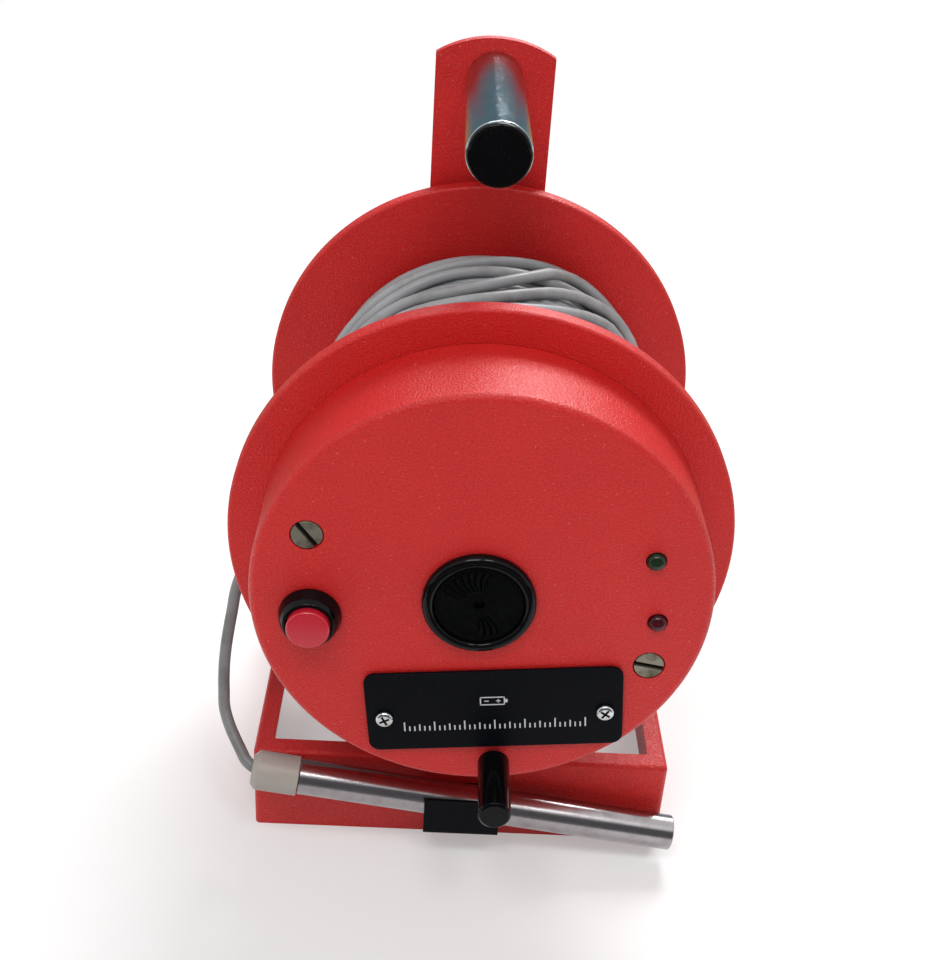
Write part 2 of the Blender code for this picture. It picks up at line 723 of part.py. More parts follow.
def make_drum(drum):
    front = make_flange("front_flange", drum, FRONT_FLANGE_Y, spigot_forward=False)
    for place in SCREW_PLACES:
        depth = PILLAR_STUD_LENGTH + GAP
        at = on_face(place, FRONT_FLANGE_Y)
        bore(front, PILLAR_STUD_RADIUS + GAP, 2 * depth, drum, at, start=-depth)
    make_flange("rear_flange", drum, REAR_FLANGE_Y, spigot_forward=True)
    make_bush("front_bush", drum, (0, FRONT_FLANGE_Y, 0), ALONG_Y)
    make_bush("rear_bush", drum, (0, REAR_FLANGE_Y + FLANGE_THICKNESS, 0), FACING_FRONT)
    length = CORE_LENGTH - 2 * GAP
    corners = [
        (CORE_RADIUS, length),
        (CORE_RADIUS, 0),
        (CORE_RADIUS - CORE_WALL, 0),
        (CORE_RADIUS - CORE_WALL, length),
    ]
    turned("drum_core", corners, RED_COAT, drum, (0, CORE_Y + GAP, 0), steps=40)
    corners = [
        (PACK_RADIUS, length, PACK_ROUND),
        (PACK_RADIUS, 0, PACK_ROUND),
        (CORE_RADIUS + GAP, 0),
        (CORE_RADIUS + GAP, length),
    ]
    turned("wound_cable", corners, GREY_PVC, drum, (0, CORE_Y + GAP, 0), steps=44, segments=1)


# Front housing and what it carries


def make_housing(drum):
    """Round pan, open at its back, with holes for everything on its face."""
    depth = HOUSING_DEPTH - GAP
    inner_round = 0.002
    housing = turned(
        "front_housing",
        [
            (0, HOUSING_WALL),
            (HOUSING_FACE_RADIUS - HOUSING_WALL, HOUSING_WALL, inner_round),
            (HOUSING_ROOT_RADIUS - HOUSING_WALL, depth),
            (HOUSING_ROOT_RADIUS, depth),
            (HOUSING_FACE_RADIUS, 0, HOUSING_ROUND),
            (0, 0),
        ],
        RED_COAT,
        drum,
        steps=56,
        segments=2,
    )
    through = 3 * HOUSING_WALL
    for place in SCREW_PLACES:
        at = on_face(place)
        seat = SCREW_HEAD_RADIUS + SCREW_SEAT_PLAY
        bore(housing, seat, 2 * SCREW_SEAT_DEPTH, drum, at, start=-SCREW_SEAT_DEPTH, sides=20)
        bore(housing, SCREW_SHANK_RADIUS + GAP, through, drum, at, start=-HOUSING_WALL)
    bore(housing, SWITCH_RADIUS + GAP, through, drum, on_face(BUTTON_PLACE), start=-HOUSING_WALL)
    bore(housing, SOUNDER_BODY_RADIUS + GAP, through, drum, on_face(SOUNDER_PLACE), start=-HOUSING_WALL, sides=28)
    for place in LAMP_PLACES.values():
        bore(housing, LAMP_RADIUS + GAP, through, drum, on_face(place), start=-HOUSING_WALL)
    bore(housing, SPINDLE_RADIUS + GAP, through, drum, on_face(KNOB_PLACE), start=-HOUSING_WALL)
    for place in cover_screw_places():
        bore(housing, COVER_SCREW_SHANK + GAP, through, drum, place, start=-HOUSING_WALL)
    window = (
        BATTERY_SIZE[0] + 2 * HOLDER_PLAY,
        through,
        BATTERY_SIZE[2] + 2 * HOLDER_PLAY,
    )
    turn = (0, -math.radians(COVER_TURN), 0)
    combine(housing, box("battery_window", window, None, drum, on_face(COVER_PLACE), turn))


def make_housing_screws(drum):
    """Slotted cheese-head screws, sunk in seats in the housing face, and the pillars they go into."""
    shank = HOUSING_WALL - SCREW_SEAT_DEPTH + GAP + SCREW_GRIP
    head_back = SCREW_SEAT_DEPTH - GAP
    head_front = head_back - SCREW_HEAD_THICKNESS
    pillar_front = HOUSING_WALL + GAP
    pillar_back = FRONT_FLANGE_Y - GAP
    for number, (place, slot_turn) in enumerate(zip(SCREW_PLACES, SCREW_SLOT_TURNS), 1):
        at = on_face(place)
        screw = turned(
            f"housing_screw_{number}",
            [
                (0, head_back + shank),
                (SCREW_SHANK_RADIUS, head_back + shank, 0.0006),
                (SCREW_SHANK_RADIUS, head_back),
                (SCREW_HEAD_RADIUS, head_back),
                (SCREW_HEAD_RADIUS, head_front, 0.0004),
                (0, head_front),
            ],
            NICKEL,
            drum,
            at,
            steps=20,
            segments=1,
        )
        size = (3 * SCREW_HEAD_RADIUS, 2 * SLOT_DEPTH, SLOT_WIDTH)
        turn = (0, -math.radians(slot_turn), 0)
        slot_at = on_face(place, head_front)
        combine(screw, box(f"slot_{number}", size, None, drum, slot_at, turn))
        hole = SCREW_SHANK_RADIUS + GAP
        hole_end = pillar_front + SCREW_GRIP + 2 * GAP
        turned(
            f"housing_pillar_{number}",
            [
                (0, pillar_back + PILLAR_STUD_LENGTH),
                (PILLAR_STUD_RADIUS, pillar_back + PILLAR_STUD_LENGTH),
                (PILLAR_STUD_RADIUS, pillar_back),
                (PILLAR_RADIUS, pillar_back),
                (PILLAR_RADIUS, pillar_front),
                (hole, pillar_front),
                (hole, hole_end),
                (0, hole_end + hole / 2),
            ],
            ZINC,
            drum,
            at,
            steps=16,
        )


def make_button(drum, press):
    """Push button: bezel and switch in one, its ring nut behind the face, and the cap that travels."""
    step_y = -BEZEL_HEIGHT - CAP_STANDS_PROUD + CAP_HEAD_LENGTH + BUTTON_TRAVEL + GAP
    stem_end = step_y + CAP_STEM_LENGTH
    bore_radius = CAP_RADIUS + PRESS_PLAY
    stem_bore = CAP_STEM_RADIUS + PRESS_PLAY
    back = -GAP
    at = on_face(BUTTON_PLACE)
    turned(
        "button_body",
        [
            (0, SWITCH_LENGTH),
            (SWITCH_RADIUS, SWITCH_LENGTH),
            (SWITCH_RADIUS, back),
            (BEZEL_FOOT_RADIUS, back),
            (BEZEL_FOOT_RADIUS, back - 0.0012),
            (BEZEL_RIM_RADIUS + 0.0012, -BEZEL_HEIGHT + 0.002, 0.004),
            (BEZEL_RIM_RADIUS, -BEZEL_HEIGHT, 0.0004),
            (bore_radius, -BEZEL_HEIGHT),
            (bore_radius, step_y),
            (stem_bore, step_y),
            (stem_bore, stem_end),
            (0, stem_end),
        ],
        BLACK_GLOSS,
        drum,
        at,
        steps=24,
    )
    hexagon(
        "button_nut",
        RING_NUT_ACROSS,
        RING_NUT_THICKNESS,
        BLACK_SATIN,
        drum,
        on_face(BUTTON_PLACE, HOUSING_WALL + GAP),
        hole=SWITCH_RADIUS + GAP,
        chamfered=False,
    )
    turned(
        "button_cap",
        [
            (0, CAP_HEAD_LENGTH + CAP_STEM_LENGTH - BUTTON_TRAVEL),
            (CAP_STEM_RADIUS, CAP_HEAD_LENGTH + CAP_STEM_LENGTH - BUTTON_TRAVEL),
            (CAP_STEM_RADIUS, CAP_HEAD_LENGTH),
            (CAP_RADIUS, CAP_HEAD_LENGTH),
            (CAP_RADIUS, 0, 0.0008),
            (0, 0),
        ],
        RED_CAP,
        press,
        steps=24,
    )


def make_sounder(drum):
    """Sounder: a cup with a round glossy rim, and the ribbed disc in its mouth."""
    rim_inner = SOUNDER_RADIUS - SOUNDER_RIM_WIDTH
    disc_back = -GAP - GAP
    seat = disc_back + GAP
    turned(
        "sounder_case",
        [
            (0, SOUNDER_BODY_LENGTH),
            (SOUNDER_BODY_RADIUS, SOUNDER_BODY_LENGTH),
            (SOUNDER_BODY_RADIUS, -GAP),
            (SOUNDER_RADIUS, -GAP),
            (SOUNDER_RADIUS, -SOUNDER_HEIGHT, 0.0026),
            (rim_inner, -SOUNDER_HEIGHT, 0.0014),
            (rim_inner, seat),
            (0, seat),
        ],
        BLACK_GLOSS,
        drum,
        on_face(SOUNDER_PLACE),
        steps=28,
    )
    disc_front = disc_back - DISC_THICKNESS
    disc_radius = rim_inner - GAP
    disc = turned(
        "sounder_disc",
        [
            (disc_radius, disc_back),
            (disc_radius, disc_front + 0.0003),
            (disc_radius - 0.001, disc_front),
            (PLEAT_INNER_RADIUS - 0.001, disc_front),
            (DISC_HOLE_RADIUS + 0.0015, disc_front - 0.0003),
            (DISC_HOLE_RADIUS, disc_front),
            (DISC_HOLE_RADIUS, disc_back),
        ],
        BLACK_SATIN,
        drum,
        on_face(SOUNDER_PLACE),
        steps=28,
    )
    length = PLEAT_OUTER_RADIUS - PLEAT_INNER_RADIUS
    middle = (PLEAT_OUTER_RADIUS + PLEAT_INNER_RADIUS) / 2
    for half_turn in (0.0, 180.0):
        for angle in PLEAT_TURNS:
            turn = math.radians(angle + half_turn)
            place = (SOUNDER_PLACE[0] + middle * math.sin(turn), SOUNDER_PLACE[1] + middle * math.cos(turn))
            at = on_face(place, disc_front)
            size = (PLEAT_WIDTH, 2 * PLEAT_DEPTH, length)
            name = f"pleat_{angle + half_turn:.0f}"
            combine(disc, box(name, size, None, drum, at, (0, turn, 0)))


def make_lamp(name, place, material, drum):
    """Lamp lens: a low dome outside the face, a body behind it and a collar against the inside."""
    collar_front = HOUSING_WALL + GAP
    dome = []
    for step in range(4):
        angle = math.radians(90 * step / 4)
        dome.append((LAMP_RADIUS * math.cos(angle), -LAMP_DOME_HEIGHT * math.sin(angle)))
    corners = [
        (0, LAMP_BODY_LENGTH),
        (LAMP_RADIUS, LAMP_BODY_LENGTH),
        (LAMP_RADIUS, collar_front + LAMP_COLLAR_THICKNESS),
        (LAMP_COLLAR_RADIUS, collar_front + LAMP_COLLAR_THICKNESS),
        (LAMP_COLLAR_RADIUS, collar_front),
        (LAMP_RADIUS, collar_front),
    ]
    corners += dome + [(0, -LAMP_DOME_HEIGHT)]
    turned(name, corners, material, drum, on_face(place), steps=16)


def cover_screw_places(back=0.0):
    half = COVER_SIZE[0] / 2 - COVER_SCREW_INSET
    return [in_cover(across, -COVER_SCREW_DROP, back) for across in (-half, half)]


def make_cover(drum):
    """Battery cover plate, its two cross-recess screws, and the holder and battery behind it."""
    turn = (math.pi / 2, -math.radians(COVER_TURN), 0)
    outline = round_rectangle(*COVER_SIZE, COVER_CORNER)
    place = on_face(COVER_PLACE, -GAP - COVER_THICKNESS / 2)
    cover = flat("battery_cover", outline, COVER_THICKNESS, BLACK_SATIN, drum, place, turn, segments=5)
    long = 4 * COVER_THICKNESS
    cover_turn = (0, -math.radians(COVER_TURN), 0)
    head_back = -GAP - COVER_THICKNESS - GAP
    head_front = head_back - COVER_SCREW_HEIGHT
    for number, at in enumerate(cover_screw_places(), 1):
        bore(cover, COVER_SCREW_SHANK + GAP, long, drum, at, start=-long / 2)
        screw = turned(
            f"cover_screw_{number}",
            [
                (0, head_back + COVER_SCREW_LENGTH),
                (COVER_SCREW_SHANK, head_back + COVER_SCREW_LENGTH),
                (COVER_SCREW_SHANK, head_back),
                (COVER_SCREW_RADIUS, head_back),
                (COVER_SCREW_RADIUS, head_front, 0.0012),
                (0, head_front),
            ],
            ZINC,
            drum,
            at,
            steps=16,
        )
        for arm, size in enumerate(((CROSS_LENGTH, CROSS_WIDTH), (CROSS_WIDTH, CROSS_LENGTH))):
            arm_size = (size[0], 2 * CROSS_DEPTH, size[1])
            arm_at = (at[0], head_front, at[2])
            combine(screw, box(f"cross_{number}_{arm}", arm_size, None, drum, arm_at, cover_turn))
    battery_front = HOUSING_WALL + GAP
    width, depth, height = BATTERY_SIZE
    battery_place = on_face(COVER_PLACE, battery_front + depth / 2)
    battery = box("battery", BATTERY_SIZE, BATTERY_CASE, drum, battery_place, cover_turn)
    edges = battery.modifiers.new("Edges", "BEVEL")
    edges.width = 0.0015
    edges.segments = 2
    play = 2 * HOLDER_PLAY
    outer = (width + play + 2 * HOLDER_WALL, depth + GAP + HOLDER_WALL, height + play + 2 * HOLDER_WALL)
    holder_place = on_face(COVER_PLACE, battery_front + outer[1] / 2)
    holder = box("battery_holder", outer, BLACK_SATIN, drum, holder_place, cover_turn)
    inner = (width + play, 2 * (depth + GAP), height + play)
    inside = box("holder_inside", inner, None, drum, on_face(COVER_PLACE, battery_front), cover_turn)
    combine(holder, inside)


def make_circuit_board(drum):
    """Circuit board on two studs behind the face, above the sounder."""
    outline = round_rectangle(*BOARD_SIZE, 0.001)
    board_front = HOUSING_WALL + GAP + BOARD_STAND_OFF + GAP
    place = on_face(BOARD_PLACE, board_front + BOARD_THICKNESS / 2)
    board = flat("circuit_board", outline, BOARD_THICKNESS, BOARD_GREEN, drum, place, segments=1)
    for number, side in enumerate((-1, 1), 1):
        x = BOARD_PLACE[0] + side * BOARD_PILLAR_SPREAD / 2
        at = (x, HOUSING_WALL + GAP, BOARD_PLACE[1])
        turned(
            f"board_pillar_{number}",
            [
                (0, BOARD_STAND_OFF + BOARD_STUD_LENGTH),
                (BOARD_STUD_RADIUS, BOARD_STAND_OFF + BOARD_STUD_LENGTH),
                (BOARD_STUD_RADIUS, BOARD_STAND_OFF),
                (BOARD_PILLAR_RADIUS, BOARD_STAND_OFF),
                (BOARD_PILLAR_RADIUS, 0),
                (0, 0),
            ],
            NYLON,
            drum,
            at,
            steps=12,
        )
        bore(board, BOARD_STUD_RADIUS + GAP, 2 * board_front, drum, at, sides=12)


def make_crank(drum, knob_axis):
    """Crank knob, the shouldered spindle that it turns on, and the nut inside the housing."""
    at = on_face(KNOB_PLACE)
    collar_back = -GAP
    collar_front = collar_back - SPINDLE_COLLAR_THICKNESS
    knob_root = collar_front - GAP
    pin_end = -(KNOB_REACH - KNOB_CROWN) + GAP
    nut_back = HOUSING_WALL + GAP + SPINDLE_NUT_THICKNESS
    turned(
        "crank_spindle",
        [
            (0, nut_back + BOLT_END_PAST_NUT),
            (SPINDLE_RADIUS, nut_back + BOLT_END_PAST_NUT),
            (SPINDLE_RADIUS, collar_back),
            (SPINDLE_COLLAR_RADIUS, collar_back),
            (SPINDLE_COLLAR_RADIUS, collar_front),
            (SPINDLE_RADIUS, collar_front),
            (SPINDLE_RADIUS, pin_end + SPINDLE_RADIUS / 3),
            (SPINDLE_RADIUS * 2 / 3, pin_end),
            (0, pin_end),
        ],
        ZINC,
        drum,
        at,
        steps=16,
    )
    nut_at = on_face(KNOB_PLACE, HOUSING_WALL + GAP)
    hole = SPINDLE_RADIUS + GAP
    hexagon(
        "spindle_nut",
        SPINDLE_NUT_ACROSS,
        SPINDLE_NUT_THICKNESS,
        ZINC,
        drum,
        nut_at,
        hole=hole,
        chamfered=False,
    )
    bore_radius = SPINDLE_RADIUS + RUNNING
    bore_end = pin_end - GAP
    turned(
        "crank_knob",
        [
            (0, bore_end),
            (bore_radius, bore_end),
            (bore_radius, knob_root),
            (KNOB_RADIUS, knob_root, 0.0005),
            (KNOB_RADIUS, -KNOB_REACH + KNOB_CHAMFER, 0.0004),
            (KNOB_RADIUS - KNOB_CHAMFER, -KNOB_REACH, 0.0004),
            (0, -KNOB_REACH),
        ],
        BLACK_GLOSS,
        knob_axis,
        steps=24,
        segments=1,
    )


# Carrying handle


def make_handle(seat):
    """Tube handle, bolted through the upright into a threaded plug, with a plastic plug in its front end."""
    tube_front = -(HANDLE_REACH - PLUG_HEAD_THICKNESS - GAP)
    inner = HANDLE_RADIUS - HANDLE_WALL
    fit = inner - GAP
    turned(
        "handle_tube",
        [
            (HANDLE_RADIUS, -GAP),
            (HANDLE_RADIUS, tube_front, 0.0004),
            (inner, tube_front),
            (inner, -GAP),
        ],
        CHROME,
        seat,
        steps=32,
        segments=1,
    )
    turned(
        "handle_end_plug",
        [
            (0, tube_front + PLUG_LENGTH),
            (fit - 0.0008, tube_front + PLUG_LENGTH),
            (fit, tube_front + PLUG_LENGTH - 0.002),
            (fit, tube_front - GAP),
            (PLUG_HEAD_RADIUS, tube_front - GAP),
            (PLUG_HEAD_RADIUS, -HANDLE_REACH, PLUG_HEAD_ROUND),
            (0, -HANDLE_REACH),
        ],
        BLACK_GLOSS,
        seat,
        steps=28,
    )
    hole = HANDLE_BOLT_RADIUS + GAP
    corners = [(fit, -2 * GAP), (fit, -ANCHOR_LENGTH), (hole, -ANCHOR_LENGTH), (hole, -2 * GAP)]
    turned("handle_anchor", corners, ZINC, seat, steps=16)
    washer_y = UPRIGHT_THICKNESS + GAP
    outer = HANDLE_WASHER_RADIUS
    ring("handle_washer", hole, outer, HANDLE_WASHER_THICKNESS, ZINC, seat, (0, washer_y, 0), steps=16)
    head_y = washer_y + HANDLE_WASHER_THICKNESS + GAP
    hexagon(
        "handle_bolt",
        HANDLE_BOLT_ACROSS,
        HANDLE_BOLT_HEAD,
        ZINC,
        seat,
        (0, head_y, 0),
        shank=(HANDLE_BOLT_RADIUS, head_y + HANDLE_BOLT_GRIP),
    )


# Probe, its clip and the free cable


def make_clip():
    """Bent strip: a back leg on the base, a floor under the probe and a front lip."""
    back = -GAP
    front = back - CLIP_INNER_WIDTH - 2 * CLIP_SHEET
    inner_bend = CLIP_BEND - CLIP_SHEET
    corners = [
        (back, CLIP_BACK_HEIGHT),
        (back - CLIP_SHEET, CLIP_BACK_HEIGHT),
        (back - CLIP_SHEET, CLIP_SHEET, inner_bend),
        (front + CLIP_SHEET, CLIP_SHEET, inner_bend),
        (front + CLIP_SHEET, CLIP_LIP_HEIGHT),
        (front, CLIP_LIP_HEIGHT),
        (front, 0, CLIP_BEND),
        (back, 0, CLIP_BEND),
    ]
    place = (CLIP_ACROSS, BASE_FRONT_Y, CLIP_BOTTOM)
    clip = flat("probe_clip", corners, CLIP_WIDTH, BLACK_SATIN, None, place, ALONG_X_OUTLINE)
    for number, side in enumerate((-1, 1), 1):
        x = CLIP_ACROSS + side * RIVET_SPREAD / 2
        at = (x, BASE_FRONT_Y, CLIP_BOTTOM + CLIP_BACK_HEIGHT / 2)
        bore(clip, RIVET_RADIUS + GAP, 0.006, None, at, start=-0.003)
        inside = BASE_SHEET + GAP
        turned(
            f"clip_rivet_{number}",
            [
                (0, inside + RIVET_HEAD_HEIGHT),
                (RIVET_HEAD_RADIUS, inside + RIVET_HEAD_HEIGHT, 0.0009),
                (RIVET_HEAD_RADIUS, inside),
                (RIVET_RADIUS, inside),
                (RIVET_RADIUS, -GAP - CLIP_SHEET),
                (0, -GAP - CLIP_SHEET),
            ],
            ZINC,
            None,
            at,
            steps=12,
            segments=1,
        )


def make_probe(probe):
    """Probe: stainless tube, the grey cap that the cable enters, and the sensing pin in its open end."""
    tube_end = PROBE_PAST_CLIP
    tube_start = tube_end - PROBE_LENGTH
    inner = PROBE_RADIUS - PROBE_WALL
    fit = inner - GAP
    upright = (0, 0, 0)
    turned(
        "probe_tube",
        [
            (PROBE_RADIUS, tube_end, 0.0004),
            (PROBE_RADIUS, tube_start),
            (inner, tube_start),
            (inner, tube_end),
        ],
        STAINLESS,
        probe,
        turn=upright,
        steps=24,
        segments=1,
    )
    cap_end = tube_start - PROBE_CAP_LENGTH
    entry = CABLE_DIAMETER / 2 + 2 * GAP
    turned(
        "probe_cap",
        [
            (0, tube_start + PROBE_CAP_PLUG),
            (fit, tube_start + PROBE_CAP_PLUG),
            (fit, tube_start - GAP),
            (PROBE_CAP_RADIUS, tube_start - GAP, 0.0004),
            (PROBE_CAP_RADIUS, cap_end + PROBE_CAP_CHAMFER, 0.001),
            (PROBE_CAP_RADIUS - PROBE_CAP_CHAMFER, cap_end, 0.001),
            (PROBE_CAP_MOUTH, cap_end),
            (entry, cap_end + PROBE_CAP_FLARE),
            (entry, cap_end + LEAD_DEPTH + GAP),
            (0, cap_end + LEAD_DEPTH + GAP),
        ],
        GREY_CAP,
        probe,
        turn=upright,
        steps=24,
        segments=1,
    )
    face = tube_end - INSULATOR_RECESS
    hole = SENSOR_RADIUS + GAP
    corners = [(fit, face), (fit, face - INSULATOR_LENGTH), (hole, face - INSULATOR_LENGTH), (hole, face)]
    turned("probe_insulator", corners, NYLON, probe, turn=upright, steps=16)
    length = SENSOR_STANDS_OUT + INSULATOR_LENGTH
    start = face - INSULATOR_LENGTH
    cylinder("probe_sensor", SENSOR_RADIUS, length, STAINLESS, probe, (0, 0, 0), upright, 12, start)


def smooth_route(route, step):
    """Points about a step apart on a smooth curve through the route's own points."""
    ends = [2 * route[0] - route[1]] + route + [2 * route[-1] - route[-2]]
    points = []
    for before, start, end, after in zip(ends, ends[1:], ends[2:], ends[3:]):
        count = max(1, round((end - start).length / step))
        for index in range(count):
            t = index / count
            points.append(
                0.5
                * (
                    2 * start
                    + (end - before) * t
                    + (2 * before - 5 * start + 4 * end - after) * t**2
                    + (3 * start - before - 3 * end + after) * t**3
                )
            )
    points.append(route[-1])
    return points


def make_lead(drum_origin):
    """Free length of cable, from the winding into the cap of the probe."""
    route = [Vector(point) + Vector(drum_origin) for point in LEAD_ROUTE]
    tilt = math.radians(PROBE_TILT)
    towards_tip = Vector((math.cos(tilt), 0, -math.sin(tilt)))
    to_cap = PROBE_PAST_CLIP - PROBE_LENGTH - PROBE_CAP_LENGTH
    inside = Vector((CLIP_ACROSS, PROBE_Y, PROBE_Z)) + (to_cap + LEAD_DEPTH) * towards_tip
    aside = Vector(LEAD_BEND_TOWARDS)
    aside = (aside - aside.project(towards_tip)).normalized()
    for degrees in LEAD_BEND_TURNS:
        turn = math.radians(degrees)
        out = inside - LEAD_BEND * math.sin(turn) * towards_tip
        route.append(out + LEAD_BEND * (1 - math.cos(turn)) * aside)
    points = smooth_route(route, LEAD_STEP)
    curve = bpy.data.curves.new("probe_lead", "CURVE")
    curve.dimensions = "3D"
    curve.bevel_depth = CABLE_DIAMETER / 2
    curve.bevel_resolution = LEAD_SIDES
    curve.use_fill_caps = True
    spline = curve.splines.new("POLY")
    spline.points.add(len(points) - 1)
    for point, place in zip(spline.points, points):
        point.co = (*place, 1.0)
    add_object("probe_lead", curve, GREY_PVC)


def main():
    drum_origin = (0, FACE_Y, AXLE_Z)
    drum = add_empty("drum_axis", drum_origin)
    knob_x, knob_z = KNOB_PLACE
    knob_axis = add_empty("knob_axis", (knob_x, FACE_Y, AXLE_Z + knob_z))
    cap_front = FACE_Y - BEZEL_HEIGHT - CAP_STANDS_PROUD
    button_x, button_z = BUTTON_PLACE
    press = add_empty("button_axis", (button_x, cap_front, AXLE_Z + button_z))
    axle_seat = add_empty("axle_seat", (0, UPRIGHT_FRONT_Y, AXLE_Z))
    handle_seat = add_empty("handle_seat", (STAND_ACROSS, UPRIGHT_FRONT_Y, AXLE_Z + HANDLE_ABOVE_AXLE))
    tilt = (0, math.pi / 2 + math.radians(PROBE_TILT), 0)
    probe = add_empty("probe_axis", (CLIP_ACROSS, PROBE_Y, PROBE_Z), tilt)

    make_base_frame()
    make_upright()
    make_upright_bolts()
    make_axle(axle_seat)
    make_drum(drum)
    make_housing(drum)
    make_housing_screws(drum)
    make_button(drum, press)
    make_sounder(drum)
    make_lamp("lamp_green", LAMP_PLACES["lamp_green"], GREEN_LENS, drum)
    make_lamp("lamp_red", LAMP_PLACES["lamp_red"], RED_LENS, drum)
    make_cover(drum)
    make_circuit_board(drum)
    make_crank(drum, knob_axis)
    make_handle(handle_seat)
    make_clip()
    make_probe(probe)
    make_lead(drum_origin)


main()
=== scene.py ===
"""Looks of a hand-carried water level indicator reel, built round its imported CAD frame.

Metres in the row frame: +Z is up, the housing faces -Y, and the reel stands on z = 0.
"""

from __future__ import annotations

import json
import logging
import math
from collections.abc import Iterable, Mapping, Sequence
from dataclasses import dataclass
from enum import Enum

import bmesh
import bpy
from mathutils import Matrix, Vector

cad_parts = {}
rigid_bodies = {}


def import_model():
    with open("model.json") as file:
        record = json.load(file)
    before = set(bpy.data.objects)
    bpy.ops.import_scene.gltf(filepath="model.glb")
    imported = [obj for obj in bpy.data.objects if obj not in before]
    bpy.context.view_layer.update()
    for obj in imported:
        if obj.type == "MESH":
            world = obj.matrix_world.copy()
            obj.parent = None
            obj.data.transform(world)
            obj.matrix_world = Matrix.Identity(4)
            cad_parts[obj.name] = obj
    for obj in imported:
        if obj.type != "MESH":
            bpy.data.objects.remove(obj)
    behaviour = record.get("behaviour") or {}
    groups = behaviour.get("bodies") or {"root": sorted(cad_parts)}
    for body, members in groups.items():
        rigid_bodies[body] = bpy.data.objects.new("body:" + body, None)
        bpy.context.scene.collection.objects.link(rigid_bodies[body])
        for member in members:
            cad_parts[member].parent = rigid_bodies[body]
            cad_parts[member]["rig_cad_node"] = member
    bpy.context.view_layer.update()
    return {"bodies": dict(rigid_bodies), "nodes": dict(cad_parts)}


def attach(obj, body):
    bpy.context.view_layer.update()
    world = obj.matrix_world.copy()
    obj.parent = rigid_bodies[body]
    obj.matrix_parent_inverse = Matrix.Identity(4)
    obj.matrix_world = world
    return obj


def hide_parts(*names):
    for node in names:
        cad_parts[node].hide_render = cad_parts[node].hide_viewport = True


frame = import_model()
LOG = logging.getLogger("water_level_reel")

MM = 0.001
GAP = 0.3 * MM  # clearance between solids that only pass each other
SHARP = math.radians(38)  # faces that meet at more than this shade as an edge
FOOT_BORE = 3.3 * MM  # radius of the holes that the foot bolts pass
AXLE_BORE = 6.3 * MM  # radius of the holes that the axle's tail passes
HANDLE_BORE = 4.3 * MM  # radius of the holes that the handle's bolt passes
RIVET_BORE = 1.9 * MM  # radius of the holes for the clip's rivets
COVER_BORE = 2.2 * MM  # radius of the holes for the cover's screws
WHITE = (1.0, 1.0, 1.0, 1.0)
ALONG_Y = Matrix.Rotation(-math.pi / 2, 4, "X")
FACING_FRONT = Matrix.Rotation(math.pi / 2, 4, "X")


# Small tools


def linear(code: str) -> tuple[float, float, float, float]:
    """Turns an sRGB hex colour into Blender's linear values.

    Args:
        code: Colour such as "#b8332f".

    Returns:
        Linear red, green and blue, and an alpha of 1.
    """
    values = [int(code[i : i + 2], 16) / 255 for i in (1, 3, 5)]
    bent = [v / 12.92 if v <= 0.04045 else ((v + 0.055) / 1.055) ** 2.4 for v in values]
    return (bent[0], bent[1], bent[2], 1.0)


def add_node(
    tree: bpy.types.NodeTree,
    kind: str,
    inputs: Mapping[str | int, object] | None = None,
    **settings: object,
) -> bpy.types.Node:
    """Adds a shader node with its settings, values and links.

    Args:
        tree: Node tree that gets the node.
        kind: Blender's name for the node type.
        inputs: Value or output socket for each input, by name or number.
        **settings: Properties of the node itself.

    Returns:
        The new node.
    """
    made = tree.nodes.new(kind)
    for name, value in settings.items():
        setattr(made, name, value)
    for key, value in (inputs or {}).items():
        if isinstance(value, bpy.types.NodeSocket):
            tree.links.new(value, made.inputs[key])
        else:
            made.inputs[key].default_value = value
    return made


def rounded(corners: Sequence[Sequence[float]], steps: int, closed: bool) -> list[Vector]:
    """Rounds each corner of an outline that has a third value, its radius.

    Args:
        corners: Points (x, y) or (x, y, radius).
        steps: Straight pieces in each rounding.
        closed: Whether the last corner joins the first.

    Returns:
        The points of the finished outline.
    """
    points: list[Vector] = []
    count = len(corners)
    for index, corner in enumerate(corners):
        here = Vector(corner[:2])
        if len(corner) < 3 or (not closed and index in (0, count - 1)):
            points.append(here)
            continue
        back = (Vector(corners[index - 1][:2]) - here).normalized()
        ahead = (Vector(corners[(index + 1) % count][:2]) - here).normalized()
        half = back.angle(ahead) / 2
        centre = here + (back + ahead).normalized() * (corner[2] / math.sin(half))
        start = here + back * (corner[2] / math.tan(half)) - centre
        end = here + ahead * (corner[2] / math.tan(half)) - centre
        sweep = -start.angle_signed(end)
        for step in range(steps + 1):
            points.append(centre + Matrix.Rotation(sweep * step / steps, 2) @ start)
    return points


def new_piece(name: str, work: bmesh.types.BMesh, place: Matrix) -> bpy.types.Object:
    """Makes an object from a bmesh, with its faces turned outwards and shaded smooth.

    Args:
        name: Name of the piece.
        work: Mesh in the piece's own frame; it is freed.
        place: Where the piece's own frame lies.

    Returns:
        The new object.
    """
    bmesh.ops.recalc_face_normals(work, faces=work.faces)
    mesh = bpy.data.meshes.new(name)
    work.to_mesh(mesh)
    work.free()
    mesh.shade_smooth()
    mesh.set_sharp_from_angle(angle=SHARP)
    piece = bpy.data.objects.new(name, mesh)
    bpy.context.scene.collection.objects.link(piece)
    piece.matrix_world = place
    return piece


